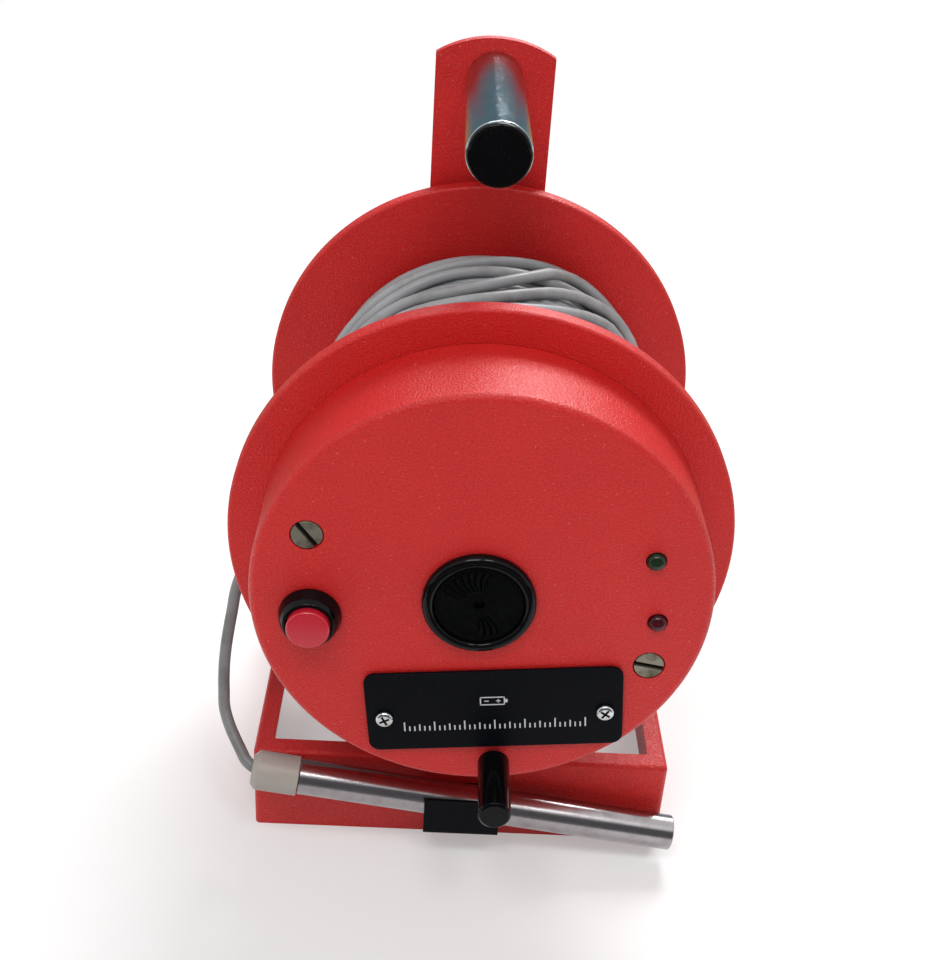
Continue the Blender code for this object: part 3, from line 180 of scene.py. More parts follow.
def lathe(
    name: str,
    corners: Sequence[Sequence[float]],
    place: Matrix,
    segments: int = 96,
    steps: int = 5,
) -> bpy.types.Object:
    """Turns a profile about its own Z axis.

    Args:
        name: Name of the piece.
        corners: (radius, height) or (radius, height, rounding). From radius 0 to radius 0 it is
            a solid, otherwise a closed ring.
        place: Where the piece's own frame lies.
        segments: Flats round the piece.
        steps: Straight pieces in each rounding.

    Returns:
        The turned piece.
    """
    solid = corners[0][0] == 0 and corners[-1][0] == 0
    points = rounded(corners, steps, closed=not solid)
    work = bmesh.new()
    rings: list[list[bmesh.types.BMVert]] = []
    for point in points:
        if point.x < 1e-7:
            rings.append([work.verts.new((0, 0, point.y))] * segments)
            continue
        turn = [2 * math.pi * i / segments for i in range(segments)]
        spots = [(point.x * math.cos(a), point.x * math.sin(a), point.y) for a in turn]
        rings.append([work.verts.new(spot) for spot in spots])
    pairs = list(zip(rings, rings[1:]))
    if not solid:
        pairs.append((rings[-1], rings[0]))
    for upper, lower in pairs:
        for i in range(segments):
            j = (i + 1) % segments
            loop = list(dict.fromkeys((upper[i], upper[j], lower[j], lower[i])))
            if len(loop) > 2:
                work.faces.new(loop)
    return new_piece(name, work, place)


def slab(
    name: str,
    corners: Sequence[Sequence[float]],
    thickness: float,
    place: Matrix,
    steps: int = 6,
) -> bpy.types.Object:
    """Gives an outline in its own XY plane a thickness along +Z.

    Args:
        name: Name of the piece.
        corners: (x, y) or (x, y, rounding).
        thickness: Height of the slab.
        place: Where the piece's own frame lies.
        steps: Straight pieces in each rounding.

    Returns:
        The flat piece.
    """
    work = bmesh.new()
    outline = [work.verts.new((p.x, p.y, 0)) for p in rounded(corners, steps, closed=True)]
    face = work.faces.new(outline)
    top = bmesh.ops.extrude_face_region(work, geom=[face])["geom"]
    moved = [item for item in top if isinstance(item, bmesh.types.BMVert)]
    bmesh.ops.translate(work, verts=moved, vec=(0, 0, thickness))
    return new_piece(name, work, place)


def block(name: str, size: Sequence[float], place: Matrix) -> bpy.types.Object:
    """Makes a box centred on its place, for carving or for a raised mark."""
    work = bmesh.new()
    bmesh.ops.create_cube(work, size=1.0)
    bmesh.ops.scale(work, vec=size, verts=work.verts)
    return new_piece(name, work, place)


def drill(radius: float, depth: float, place: Matrix, segments: int = 48) -> bpy.types.Object:
    """Makes a round cutter from depth behind its place to depth in front of it."""
    corners = [(0, depth), (radius, depth), (radius, -depth), (0, -depth)]
    return lathe("drill", corners, place, segments)


def settle(piece: bpy.types.Object) -> bpy.types.Object:
    """Applies a piece's modifiers to its mesh."""
    graph = bpy.context.evaluated_depsgraph_get()
    mesh = bpy.data.meshes.new_from_object(piece.evaluated_get(graph))
    old = piece.data
    piece.modifiers.clear()
    piece.data = mesh
    mesh.name = piece.name
    bpy.data.meshes.remove(old)
    return piece


def carve(
    piece: bpy.types.Object,
    cutters: Iterable[bpy.types.Object],
    operation: str = "DIFFERENCE",
) -> bpy.types.Object:
    """Cuts, joins or trims a piece with others, which are used up.

    Args:
        piece: Piece that is changed.
        cutters: The pieces that shape it.
        operation: Blender's name for the Boolean operation.

    Returns:
        The same piece.
    """
    used = list(cutters)
    for cutter in used:
        boolean = piece.modifiers.new("Carve", "BOOLEAN")
        boolean.operation = operation
        boolean.object = cutter
        boolean.solver = "EXACT"
    settle(piece)
    for cutter in used:
        bpy.data.objects.remove(cutter, do_unlink=True)
    piece.data.shade_smooth()
    piece.data.set_sharp_from_angle(angle=SHARP)
    return piece


def break_edges(
    piece: bpy.types.Object,
    width: float,
    segments: int = 2,
    angle: float = 40,
) -> bpy.types.Object:
    """Rounds a piece's sharp edges, and keeps its flat faces shaded flat.

    Args:
        piece: Piece that is changed.
        width: Width of the rounding.
        segments: Straight pieces in it.
        angle: Smallest angle between faces, in degrees, that is rounded.

    Returns:
        The same piece.
    """
    bevel = piece.modifiers.new("Edges", "BEVEL")
    bevel.width = width
    bevel.segments = segments
    bevel.limit_method = "ANGLE"
    bevel.angle_limit = math.radians(angle)
    bevel.use_clamp_overlap = True
    return even_shade(piece)


def even_shade(piece: bpy.types.Object) -> bpy.types.Object:
    """Keeps the large flat faces of a piece from shading as if they were curved."""
    normal = piece.modifiers.new("Shade", "WEIGHTED_NORMAL")
    normal.keep_sharp = True
    normal.weight = 60
    return piece


def arc(
    centre: Sequence[float],
    radius: float,
    start: float,
    end: float,
    count: int,
) -> list[tuple[float, float]]:
    """Points along a circle, between two angles in degrees."""
    turn = [math.radians(start + (end - start) * i / count) for i in range(count + 1)]
    return [(centre[0] + radius * math.cos(a), centre[1] + radius * math.sin(a)) for a in turn]


def round_curve(name: str, diameter: float, fineness: int) -> bpy.types.Object:
    """Makes a curve object without points, as thick as a cable.

    Args:
        name: Name of the piece.
        diameter: Of the cable.
        fineness: Blender's bevel resolution.

    Returns:
        The new object.
    """
    curve = bpy.data.curves.new(name, "CURVE")
    curve.dimensions = "3D"
    curve.bevel_depth = diameter / 2
    curve.bevel_resolution = fineness
    curve.use_fill_caps = True
    piece = bpy.data.objects.new(name, curve)
    bpy.context.scene.collection.objects.link(piece)
    return piece


# Finishes


class Grain(Enum):
    """Which way the marks of making run on a metal."""

    HOOPS = "turned, in hoops along its own Z axis"
    RINGS = "faced, in rings round its own Z axis"
    CAST = "none"


@dataclass(frozen=True)
class Finish:
    """A surface, named for its real material and for how that was made.

    Attributes:
        label: Name of the Blender material.
        slot: The record's material slot; not used by this script.
    """

    label: str
    slot: str

    def material(self) -> bpy.types.Material:
        """Makes the Blender material, or finds it if it is made already."""
        made = bpy.data.materials.get(self.label)
        if made is None:
            made = bpy.data.materials.new(self.label)
            made.use_nodes = True
            tree = made.node_tree
            tree.nodes.clear()
            shader = add_node(tree, "ShaderNodeBsdfPrincipled", self.paint(tree))
            add_node(tree, "ShaderNodeOutputMaterial", {"Surface": shader.outputs["BSDF"]})
        return made

    def paint(self, tree: bpy.types.NodeTree) -> dict[str, object]:
        """Makes the pattern, and gives the shader's inputs. Each finish has its own."""
        raise NotImplementedError

    def skin(
        self,
        tree: bpy.types.NodeTree,
        marked: bpy.types.NodeSocket,
        tones: tuple[str, str],
        rough: tuple[float, float],
        relief: tuple[bpy.types.NodeSocket, float],
    ) -> dict[str, object]:
        """Blends a clean surface into a marked one, over a fine relief.

        Args:
            tree: Node tree of the material.
            marked: Share of the marked surface at a spot.
            tones: Colour of the clean surface and of the marked one.
            rough: Roughness of the clean surface, and what the marks add to it.
            relief: Height of the relief, and its depth in millimetres.

        Returns:
            The shader's inputs for colour, roughness and normal.
        """
        tone = add_node(
            tree,
            "ShaderNodeMix",
            {"Factor": marked, 6: linear(tones[0]), 7: linear(tones[1])},
            data_type="RGBA",
        )
        dull = add_node(
            tree,
            "ShaderNodeMath",
            {0: marked, 1: rough[1], 2: rough[0]},
            operation="MULTIPLY_ADD",
        )
        bump = add_node(
            tree,
            "ShaderNodeBump",
            {"Strength": 1.0, "Distance": relief[1] * MM, "Height": relief[0]},
        )
        return {
            "Base Color": tone.outputs[2],
            "Roughness": dull.outputs[0],
            "Normal": bump.outputs["Normal"],
        }

    def dress(self, piece: bpy.types.Object) -> None:
        """Puts the finish on a piece."""
        made = self.material()
        piece.data.materials.clear()
        piece.data.materials.append(made)


@dataclass(frozen=True)
class WrinklePowderCoat(Finish):
    """Polyester powder coat, sprayed and baked so that its skin wrinkles.

    The eye sees a satin red with fine pimples, whose lit sides glitter in raking light. Light
    specks on its peaks are partly dust and partly painted glints.

    Attributes:
        colour: Main colour.
        deep: Colour where the coat lies thicker.
        dust: Colour of the light specks on its peaks, partly dust and partly painted glints.
        grain_mm: Width of one wrinkle.
        relief_mm: Height of the wrinkles.
        patch_mm: Width of the slow tone changes.
        dust_and_glint_mm: Spacing of those specks, coarser than the real ones so that they show.
        roughness: Of the skin between the wrinkles.
    """

    label: str = "red_wrinkle_powder_coat"
    slot: str = "red_coat"
    colour: str = "#dc2a26"
    deep: str = "#b91817"
    dust: str = "#e58a84"
    grain_mm: float = 0.8
    relief_mm: float = 0.45
    patch_mm: float = 36.0
    dust_and_glint_mm: float = 1.33
    roughness: float = 0.36

    def paint(self, tree: bpy.types.NodeTree) -> dict[str, object]:
        """Sets wrinkles of two sizes, slow tone changes, light specks that are partly dust and
        partly painted glints, and an uneven gloss.
        """
        place = add_node(tree, "ShaderNodeTexCoord").outputs["Object"]
        wrinkle = add_node(
            tree,
            "ShaderNodeTexNoise",
            {"Vector": place, "Scale": 1000 / self.grain_mm, "Detail": 2.0, "Roughness": 0.6},
        )
        patches = add_node(
            tree,
            "ShaderNodeTexNoise",
            {"Vector": place, "Scale": 1000 / self.patch_mm, "Detail": 3.0},
        )
        height = add_node(
            tree,
            "ShaderNodeMapRange",
            {"Value": wrinkle.outputs["Fac"], "From Min": 0.36, "From Max": 0.64},
        )
        thinness = add_node(
            tree,
            "ShaderNodeMix",
            {"Factor": 0.6, "A": patches.outputs["Fac"], "B": height.outputs["Result"]},
        )
        tone = add_node(
            tree,
            "ShaderNodeMix",
            {"Factor": thinness.outputs[0], 6: linear(self.deep), 7: linear(self.colour)},
            data_type="RGBA",
        )
        # Light specks on the peaks: partly dust, partly painted glints.
        dust_and_glint_noise = add_node(
            tree,
            "ShaderNodeTexNoise",
            {"Vector": place, "Scale": 1000 / self.dust_and_glint_mm, "Detail": 1.0},
        )
        dust_and_glint = add_node(
            tree,
            "ShaderNodeMapRange",
            {"Value": dust_and_glint_noise.outputs["Fac"], "From Min": 0.71, "From Max": 0.77, "To Max": 0.35},
        )
        tone = add_node(
            tree,
            "ShaderNodeMix",
            {"Factor": dust_and_glint.outputs["Result"], 6: tone.outputs[2], 7: linear(self.dust)},
            data_type="RGBA",
        )
        gloss = add_node(
            tree,
            "ShaderNodeMapRange",
            {
                "Value": wrinkle.outputs["Fac"],
                "From Min": 0.35,
                "From Max": 0.65,
                "To Min": self.roughness + 0.08,
                "To Max": self.roughness - 0.06,
            },
        )
        relief = add_node(
            tree,
            "ShaderNodeBump",
            {"Strength": 1.0, "Distance": self.relief_mm * MM, "Height": wrinkle.outputs["Fac"]},
        )
        return {
            "Base Color": tone.outputs[2],
            "Roughness": gloss.outputs["Result"],
            "Specular IOR Level": 0.4,
            "Normal": relief.outputs["Normal"],
        }


@dataclass(frozen=True)
class WorkedMetal(Finish):
    """Bare or plated metal that keeps the marks of its making.

    Attributes:
        colour: Reflected colour.
        stain: Colour in the dull patches.
        roughness: Where it is clean.
        dulled: Added roughness in the dull patches.
        grain: Which way the marks run.
        mark_mm: Spacing of the marks.
        mark_depth_mm: Their depth.
        patch_mm: Width of the dull patches.
    """

    label: str = "stainless_steel_ground"
    slot: str = "stainless"
    colour: str = "#aaa6a8"
    stain: str = "#999496"
    roughness: float = 0.22
    dulled: float = 0.05
    grain: Grain = Grain.HOOPS
    mark_mm: float = 0.5
    mark_depth_mm: float = 0.004
    patch_mm: float = 8.3

    def paint(self, tree: bpy.types.NodeTree) -> dict[str, object]:
        """Sets fine marks in the grain's direction, and dull patches."""
        place = add_node(tree, "ShaderNodeTexCoord").outputs["Object"]
        if self.grain is Grain.RINGS:
            flat = add_node(
                tree,
                "ShaderNodeVectorMath",
                {0: place, 1: (1.0, 1.0, 0.0)},
                operation="MULTIPLY",
            )
            reach = add_node(tree, "ShaderNodeVectorMath", {0: flat.outputs[0]}, operation="LENGTH")
            rings = add_node(tree, "ShaderNodeCombineXYZ", {"X": reach.outputs["Value"]})
            across = rings.outputs["Vector"]
        else:
            squeeze = {
                Grain.HOOPS: (0.02, 0.02, 1.0),
                Grain.CAST: (1.0, 1.0, 1.0),
            }[self.grain]
            across = add_node(
                tree,
                "ShaderNodeVectorMath",
                {0: place, 1: squeeze},
                operation="MULTIPLY",
            ).outputs[0]
        marks = add_node(
            tree,
            "ShaderNodeTexNoise",
            {"Vector": across, "Scale": 1000 / self.mark_mm, "Detail": 3.0, "Roughness": 0.7},
        )
        patches = add_node(
            tree,
            "ShaderNodeTexNoise",
            {"Vector": place, "Scale": 1000 / self.patch_mm, "Detail": 4.0, "Roughness": 0.65},
        )
        dull = add_node(
            tree,
            "ShaderNodeMapRange",
            {"Value": patches.outputs["Fac"], "From Min": 0.45, "From Max": 0.7},
        )
        tones = (self.colour, self.stain)
        rough = (self.roughness, self.dulled)
        relief = (marks.outputs["Fac"], self.mark_depth_mm)
        return self.skin(tree, dull.outputs["Result"], tones, rough, relief) | {"Metallic": 1.0}


@dataclass(frozen=True)
class MouldedPlastic(Finish):
    """Injection-moulded plastic, with faint flow marks and a little dust.

    Attributes:
        colour: Main colour.
        dust: Colour of the specks.
        roughness: From a polished or a textured mould.
        shine: Specular level.
        skin_mm: Width of the flow marks or of the mould's texture.
        skin_depth_mm: Their depth.
        dusty: Share of the surface with specks.
        speck_mm: Spacing of the specks, coarser than real dust so that they show.
    """

    label: str = "black_abs_polished_mould"
    slot: str = "black_gloss"
    colour: str = "#08080a"
    dust: str = "#3a3a3c"
    roughness: float = 0.07
    shine: float = 0.16
    skin_mm: float = 6.0
    skin_depth_mm: float = 0.02
    dusty: float = 0.04
    speck_mm: float = 0.385

    def paint(self, tree: bpy.types.NodeTree) -> dict[str, object]:
        """Sets slow flow marks and sparse specks of dust."""
        place = add_node(tree, "ShaderNodeTexCoord").outputs["Object"]
        skin = add_node(
            tree,
            "ShaderNodeTexNoise",
            {"Vector": place, "Scale": 1000 / self.skin_mm, "Detail": 2.0},
        )
        specks = add_node(
            tree,
            "ShaderNodeTexNoise",
            {"Vector": place, "Scale": 1000 / self.speck_mm, "Detail": 1.0},
        )
        speck = add_node(
            tree,
            "ShaderNodeMapRange",
            {
                "Value": specks.outputs["Fac"],
                "From Min": 0.74 - self.dusty,
                "From Max": 0.80 - self.dusty,
                "To Max": 0.6,
            },
        )
        tones = (self.colour, self.dust)
        rough = (self.roughness, 0.5)
        relief = (skin.outputs["Fac"], self.skin_depth_mm)
        inputs = self.skin(tree, speck.outputs["Result"], tones, rough, relief)
        return inputs | {"Specular IOR Level": self.shine}


@dataclass(frozen=True)
class CableSheath(Finish):
    """Extruded PVC sheath, soft and dull, with handling marks.

    Attributes:
        colour: Clean sheath.
        worn: Where hands and gravel have dirtied it.
        roughness: Of the clean sheath.
        smudge_mm: Width of a smudge.
        grain_mm: Grain of the extruded skin, coarser than the real one so that it shows.
        grain_depth_mm: Its depth.
    """

    label: str = "grey_pvc_sheath"
    slot: str = "grey_cable"
    colour: str = "#a2a4a6"
    worn: str = "#858280"
    roughness: float = 0.42
    smudge_mm: float = 22.2
    grain_mm: float = 0.625
    grain_depth_mm: float = 0.015

    def paint(self, tree: bpy.types.NodeTree) -> dict[str, object]:
        """Sets slow smudges and a fine grain."""
        place = add_node(tree, "ShaderNodeTexCoord").outputs["Object"]
        smudge = add_node(
            tree,
            "ShaderNodeTexNoise",
            {"Vector": place, "Scale": 1000 / self.smudge_mm, "Detail": 5.0, "Roughness": 0.6},
        )
        dirty = add_node(
            tree,
            "ShaderNodeMapRange",
            {"Value": smudge.outputs["Fac"], "From Min": 0.48, "From Max": 0.72},
        )
        grain = add_node(
            tree,
            "ShaderNodeTexNoise",
            {"Vector": place, "Scale": 1000 / self.grain_mm, "Detail": 2.0},
        )
        tones = (self.colour, self.worn)
        rough = (self.roughness, 0.12)
        relief = (grain.outputs["Fac"], self.grain_depth_mm)
        inputs = self.skin(tree, dirty.outputs["Result"], tones, rough, relief)
        return inputs | {"Specular IOR Level": 0.45}


@dataclass(frozen=True)
class TintedLens(Finish):
    """Cast epoxy lens of an unlit lamp: deep colour under a wet gloss.

    Attributes:
        colour: Tint.
        heart: Colour of the chip cup deep inside.
    """

    label: str = "green_epoxy_lens"
    slot: str = "green_lens"
    colour: str = "#0f2413"
    heart: str = "#1a2a18"

    def paint(self, tree: bpy.types.NodeTree) -> dict[str, object]:
        """Sets a darker edge round a slightly paler heart."""
        place = add_node(tree, "ShaderNodeTexCoord").outputs["Object"]
        parts = add_node(tree, "ShaderNodeSeparateXYZ", {"Vector": place})
        edge = add_node(
            tree,
            "ShaderNodeMapRange",
            {"Value": parts.outputs["Z"], "From Min": -2.4 * MM, "From Max": -0.6 * MM},
        ).outputs["Result"]
        tone = add_node(
            tree,
            "ShaderNodeMix",
            {"Factor": edge, 6: linear(self.heart), 7: linear(self.colour)},
            data_type="RGBA",
        )
        return {"Base Color": tone.outputs[2], "Roughness": 0.03, "Specular IOR Level": 0.3}


# Red wrinkle coat: satin, with fine pimples that glitter in raking light, and light specks that are
# partly dust and partly painted glints.
RED_COAT = WrinklePowderCoat()
# Chrome over a turned tube: a cool mirror, drawn out into soft hoops.
CHROME = WorkedMetal(
    label="chrome_plate_over_turned_tube",
    slot="chrome_tube",
    colour="#b3bcc0",
    stain="#a3aaad",
    roughness=0.12,
    dulled=0.06,
    grain=Grain.HOOPS,
    mark_mm=0.3,
    mark_depth_mm=0.05,
)
# Ground stainless: a bright bar of light along it, crossed by fine hoops.
STAINLESS = WorkedMetal()
# Zinc-plated steel: pale grey with a cloudy half-gloss.
ZINC = WorkedMetal(
    label="steel_zinc_plated",
    slot="zinc_steel",
    colour="#c3c4c8",
    stain="#a09b90",
    roughness=0.3,
    dulled=0.15,
    grain=Grain.CAST,
    mark_mm=0.8,
    mark_depth_mm=0.01,
)
# Bright zinc on small screws: close to a mirror, a little uneven.
BRIGHT_ZINC = WorkedMetal(
    label="steel_bright_zinc_plated",
    slot="zinc_steel",
    colour="#d6d9dc",
    stain="#a9a69d",
    roughness=0.16,
    dulled=0.12,
    grain=Grain.CAST,
    mark_mm=0.6,
    mark_depth_mm=0.03,
)
# Faced nickel, dulled by use: warm grey with faint rings.
NICKEL = WorkedMetal(
    label="nickel_plate_faced_and_dulled",
    slot="aged_nickel",
    colour="#aaa594",
    stain="#6a6452",
    roughness=0.5,
    dulled=0.2,
    grain=Grain.RINGS,
    mark_mm=0.45,
    mark_depth_mm=0.02,
)
# Sintered bronze: brown and half matt.
BRONZE = WorkedMetal(
    label="bronze_sintered",
    slot="bronze",
    colour="#b08a55",
    stain="#7c6138",
    roughness=0.4,
    grain=Grain.CAST,
    mark_mm=0.4,
    mark_depth_mm=0.02,
)
# ABS from a polished mould: black, with narrow clear highlights.
BLACK_GLOSS = MouldedPlastic()
# ABS from a textured mould: black that hardly shines.
BLACK_SATIN = MouldedPlastic(
    label="black_abs_textured_mould",
    slot="black_satin",
    colour="#070809",
    roughness=0.3,
    shine=0.03,
    skin_mm=0.8,
    skin_depth_mm=0.02,
)
# Stoved coat on steel: an even blue-black with a faint sheen.
BLACK_COAT = MouldedPlastic(
    label="steel_black_satin_stoved",
    slot="black_coat",
    colour="#090b10",
    dust="#4a4a50",
    roughness=0.36,
    shine=0.06,
    skin_mm=0.7,
    skin_depth_mm=0.012,
)
# Polished red ABS: full colour, with a light line on its edge.
RED_CAP = MouldedPlastic(
    label="red_abs_polished_mould",
    slot="red_plastic",
    colour="#c01d2f",
    dust="#d98088",
    roughness=0.16,
    shine=0.7,
)
# Turned acetal: warm grey and waxy, with grime in its marks.
GREY_CAP = MouldedPlastic(
    label="grey_acetal_turned",
    slot="grey_plastic",
    colour="#a8a19a",
    dust="#6f6a64",
    roughness=0.42,
    shine=0.4,
    skin_mm=2.0,
    dusty=0.05,
)
# Natural nylon: off-white and waxy.
NYLON = MouldedPlastic(
    label="natural_nylon_turned",
    slot="white_nylon",
    colour="#d9d6cd",
    dust="#9c978c",
    roughness=0.45,
)
# Film round the battery: dark and smooth.
BATTERY_JACKET = MouldedPlastic(
    label="battery_jacket_printed_film",
    slot="battery_jacket",
    colour="#2c2c30",
    roughness=0.3,
)
# Solder mask over glass epoxy: deep green with a half-gloss.
BOARD = MouldedPlastic(
    label="glass_epoxy_board_solder_mask",
    slot="board",
    colour="#14552c",
    dust="#c8b06a",
    roughness=0.35,
    skin_mm=0.6,
)
# Painted shade in a screw's recess: nearly black and matt.
RECESS_SHADE = MouldedPlastic(
    label="old_grease_with_dust",
    slot="aged_nickel",
    colour="#0e0c0a",
    dust="#3b352c",
    roughness=0.7,
    shine=0.2,
    dusty=0.08,
)
# Screen-printing ink: flat off-white.
WHITE_PRINT = MouldedPlastic(
    label="white_screen_printing_ink",
    slot="black_coat",
    colour="#c9cacd",
    dust="#77787c",
    roughness=0.5,
    dusty=0.06,
)


# Red epoxy: nearly black until it is lit, under a wet gloss.
RED_LENS = TintedLens(
    label="red_epoxy_lens",
    slot="red_lens",
    colour="#300510",
    heart="#420c15",
)


class Tint(Enum):
    """The two lamps: the lens of each, and its direction from the middle of the face in degrees."""

    GREEN = (TintedLens(), 20.0)
    RED = (RED_LENS, -4.0)


# Shared places


@dataclass(frozen=True)
class Layout:
    """Places that several sub-assemblies share, as the CAD has them.

    Attributes:
        face_y: Housing face.
        axle_z: Height of the drum axis.
        front_flange: Front of the front flange, back from the housing face.
        rear_flange: Front of the rear flange, back from the housing face.
        flange_thickness: Of both.
        upright: Front of the upright plate, back from the housing face.
        upright_thickness: Of the plate.
        face_radius: Of the housing face.
        stand_across: Middle of the base, upright and handle, from the drum axis.
    """

    face_y: float = -0.08885
    axle_z: float = 0.1481
    front_flange: float = 0.0405
    rear_flange: float = 0.1786
    flange_thickness: float = 0.0081
    upright: float = 0.1907
    upright_thickness: float = 0.005
    face_radius: float = 0.0862
    stand_across: float = -0.0018

    def at(self, across: float, back: float, up: float, turn: Matrix = ALONG_Y) -> Matrix:
        """Gives a place from the middle of the housing face, with a piece's turn there."""
        return Matrix.Translation((across, self.face_y + back, self.axle_z + up)) @ turn

    def on_face(self, inset: float, degrees: float, turn: Matrix = ALONG_Y) -> Matrix:
        """Gives a place on the housing face, in from its edge, in a direction from its middle."""
        reach = self.face_radius - inset
        angle = math.radians(degrees)
        return self.at(reach * math.cos(angle), 0, reach * math.sin(angle), turn)


LAYOUT = Layout()


def dress_nodes(finish: Finish, *names: str) -> None:
    """Puts a finish on solids of the CAD that are shown as they are."""
    for name in names:
        finish.dress(frame["nodes"][name])


@dataclass
class SubAssembly:
    """A group of pieces that ride on one body of the frame.

    Attributes:
        body: The body's name.
    """

    body: str = "stand"

    def fit(self, piece: bpy.types.Object, finish: Finish, *stands_for: str) -> bpy.types.Object:
        """Dresses a piece and fixes it to the body.

        Args:
            piece: The finished shape.
            finish: Its surface.
            *stands_for: CAD nodes that it stands for.

        Returns:
            The same piece.
        """
        finish.dress(piece)
        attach(piece, self.body)
        if stands_for:
            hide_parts(*stands_for)
        LOG.info("%s rides on %s for %s", piece.name, self.body, ", ".join(stands_for) or "itself")
        return piece

    def build(self) -> None:
        """Makes and dresses the group's pieces. Each sub-assembly has its own."""
        raise NotImplementedError


# Studio


@dataclass
class Studio:
    """Floor, light and camera.

    Attributes:
        camera_at: Where the photograph was taken from.
        heading: Turn of the view to the right of +Y, in degrees.
        pitch: Downward tilt, in degrees.
        roll: Lean of the camera, in degrees.
        lens: Focal length in millimetres on a sensor 36 mm along the long side.
        sky: Strength of the light from all round.
        near: Distance from the middle up to which the floor is seen with its own shade.
        far: Distance from which it is seen as plain white.
    """

    camera_at: tuple[float, float, float] = (-0.021327, -0.492403, 0.437135)
    heading: float = 1.9685
    pitch: float = 30.336
    roll: float = 3.8416
    lens: float = 50.296
    sky: float = 0.35
    near: float = 0.22
    far: float = 1.0

    def clear(self) -> None:
        """Removes what Blender starts with."""
        kept = set(frame["nodes"].values()) | set(frame["bodies"].values())
        for stray in [o for o in bpy.data.objects if o not in kept]:
            bpy.data.objects.remove(stray, do_unlink=True)

    def place_camera(self) -> None:
        """Sets the camera where the photograph was taken from."""
        heading, pitch, roll = (math.radians(v) for v in (self.heading, self.pitch, self.roll))
        forward = Vector(
            (
                math.sin(heading) * math.cos(pitch),
                math.cos(heading) * math.cos(pitch),
                -math.sin(pitch),
            )
        )
        level = forward.cross(Vector((0, 0, 1))).normalized()
        rise = level.cross(forward)
        right = math.cos(roll) * level + math.sin(roll) * rise
        up = -math.sin(roll) * level + math.cos(roll) * rise
        turn = Matrix((right, up, -forward)).transposed().to_4x4()
        data = bpy.data.cameras.new("photo_camera")
        data.lens = self.lens
        data.sensor_width = 36.0
        data.clip_start = 0.02
        data.clip_end = 50.0
        camera = bpy.data.objects.new("photo_camera", data)
        bpy.context.scene.collection.objects.link(camera)
        camera.matrix_world = Matrix.Translation(self.camera_at) @ turn
        bpy.context.scene.camera = camera

    def seen(self, tree: bpy.types.NodeTree) -> bpy.types.NodeSocket:
        """Gives 1 for what the camera sees, also by way of glass and metal, and 0 for light."""
        rays = add_node(tree, "ShaderNodeLightPath")
        mirrored = add_node(
            tree,
            "ShaderNodeMath",
            {0: rays.outputs["Is Glossy Ray"], 1: rays.outputs["Is Transmission Ray"]},
            operation="MAXIMUM",
        )
        seen = add_node(
            tree,
            "ShaderNodeMath",
            {0: rays.outputs["Is Camera Ray"], 1: mirrored.outputs[0]},
            operation="MAXIMUM",
        )
        return seen.outputs[0]

    def paint_stage(
        self,
        stage: bpy.types.Object,
        name: str,
        colour: str,
        glow: float = 0.0,
    ) -> None:
        """Paints a stage piece with matt paper.

        Args:
            stage: The floor or a card.
            name: Name of the paper.
            colour: Of the paper.
            glow: Share of plain white that the camera, glass and metal see in it near the reel.
        """
        made = bpy.data.materials.new(name)
        made.use_nodes = True
        tree = made.node_tree
        tree.nodes.clear()
        seen = self.seen(tree)
        share = add_node(tree, "ShaderNodeMath", {0: seen, 1: glow}, operation="MULTIPLY")
        if glow:
            place = add_node(tree, "ShaderNodeTexCoord").outputs["Object"]
            reach = add_node(tree, "ShaderNodeVectorMath", {0: place}, operation="LENGTH")
            fade = add_node(
                tree,
                "ShaderNodeMapRange",
                {
                    "Value": reach.outputs["Value"],
                    "From Min": self.near,
                    "From Max": self.far,
                    "To Min": glow,
                    "To Max": 1.0,
                },
            )
            tree.links.new(fade.outputs["Result"], share.inputs[1])
        paper = add_node(tree, "ShaderNodeBsdfDiffuse", {"Color": linear(colour)})
        white = add_node(tree, "ShaderNodeEmission", {"Color": WHITE, "Strength": 1.0})
        both = add_node(
            tree,
            "ShaderNodeMixShader",
            {"Fac": share.outputs[0], 1: paper.outputs[0], 2: white.outputs[0]},
        )
        add_node(tree, "ShaderNodeOutputMaterial", {"Surface": both.outputs[0]})
        stage.data.materials.append(made)

    def lay_floor(self) -> None:
        """Lays a plain white floor that keeps the soft shadow of the reel."""
        work = bmesh.new()
        bmesh.ops.create_grid(work, x_segments=1, y_segments=1, size=6.0)
        floor = new_piece("floor", work, Matrix.Identity(4))
        self.paint_stage(floor, "white_floor_paper", "#f4f4f3", glow=0.32)

    def set_card(
        self,
        name: str,
        corners: Sequence[Sequence[float]],
        place: Matrix,
        colour: str,
    ) -> None:
        """Sets up a card that only shows in the reel's shine, as a photographer flags a reflection.

        Args:
            name: Name of the card.
            corners: Its outline.
            place: Where its own frame lies.
            colour: Of the card.
        """
        card = slab(name, corners, 2 * MM, place)
        self.paint_stage(card, f"{name}_paper", colour)
        card.visible_camera = False
        card.visible_diffuse = False
        card.visible_transmission = False
        card.visible_shadow = False

    def light_world(self) -> None:
        """Sets a white background, and a plain soft light from all round."""
        world = bpy.data.worlds.new("studio_world")
        world.use_nodes = True
        tree = world.node_tree
        tree.nodes.clear()
        seen = self.seen(tree)
        plain = add_node(
            tree,
            "ShaderNodeBackground",
            {"Color": linear("#f2f3f5"), "Strength": self.sky},
        )
        white = add_node(tree, "ShaderNodeBackground", {"Color": WHITE, "Strength": 1.0})
        all_rays = add_node(
            tree,
            "ShaderNodeMixShader",
            {"Fac": seen, 1: plain.outputs[0], 2: white.outputs[0]},
        )
        add_node(tree, "ShaderNodeOutputWorld", {"Surface": all_rays.outputs[0]})
        bpy.context.scene.world = world

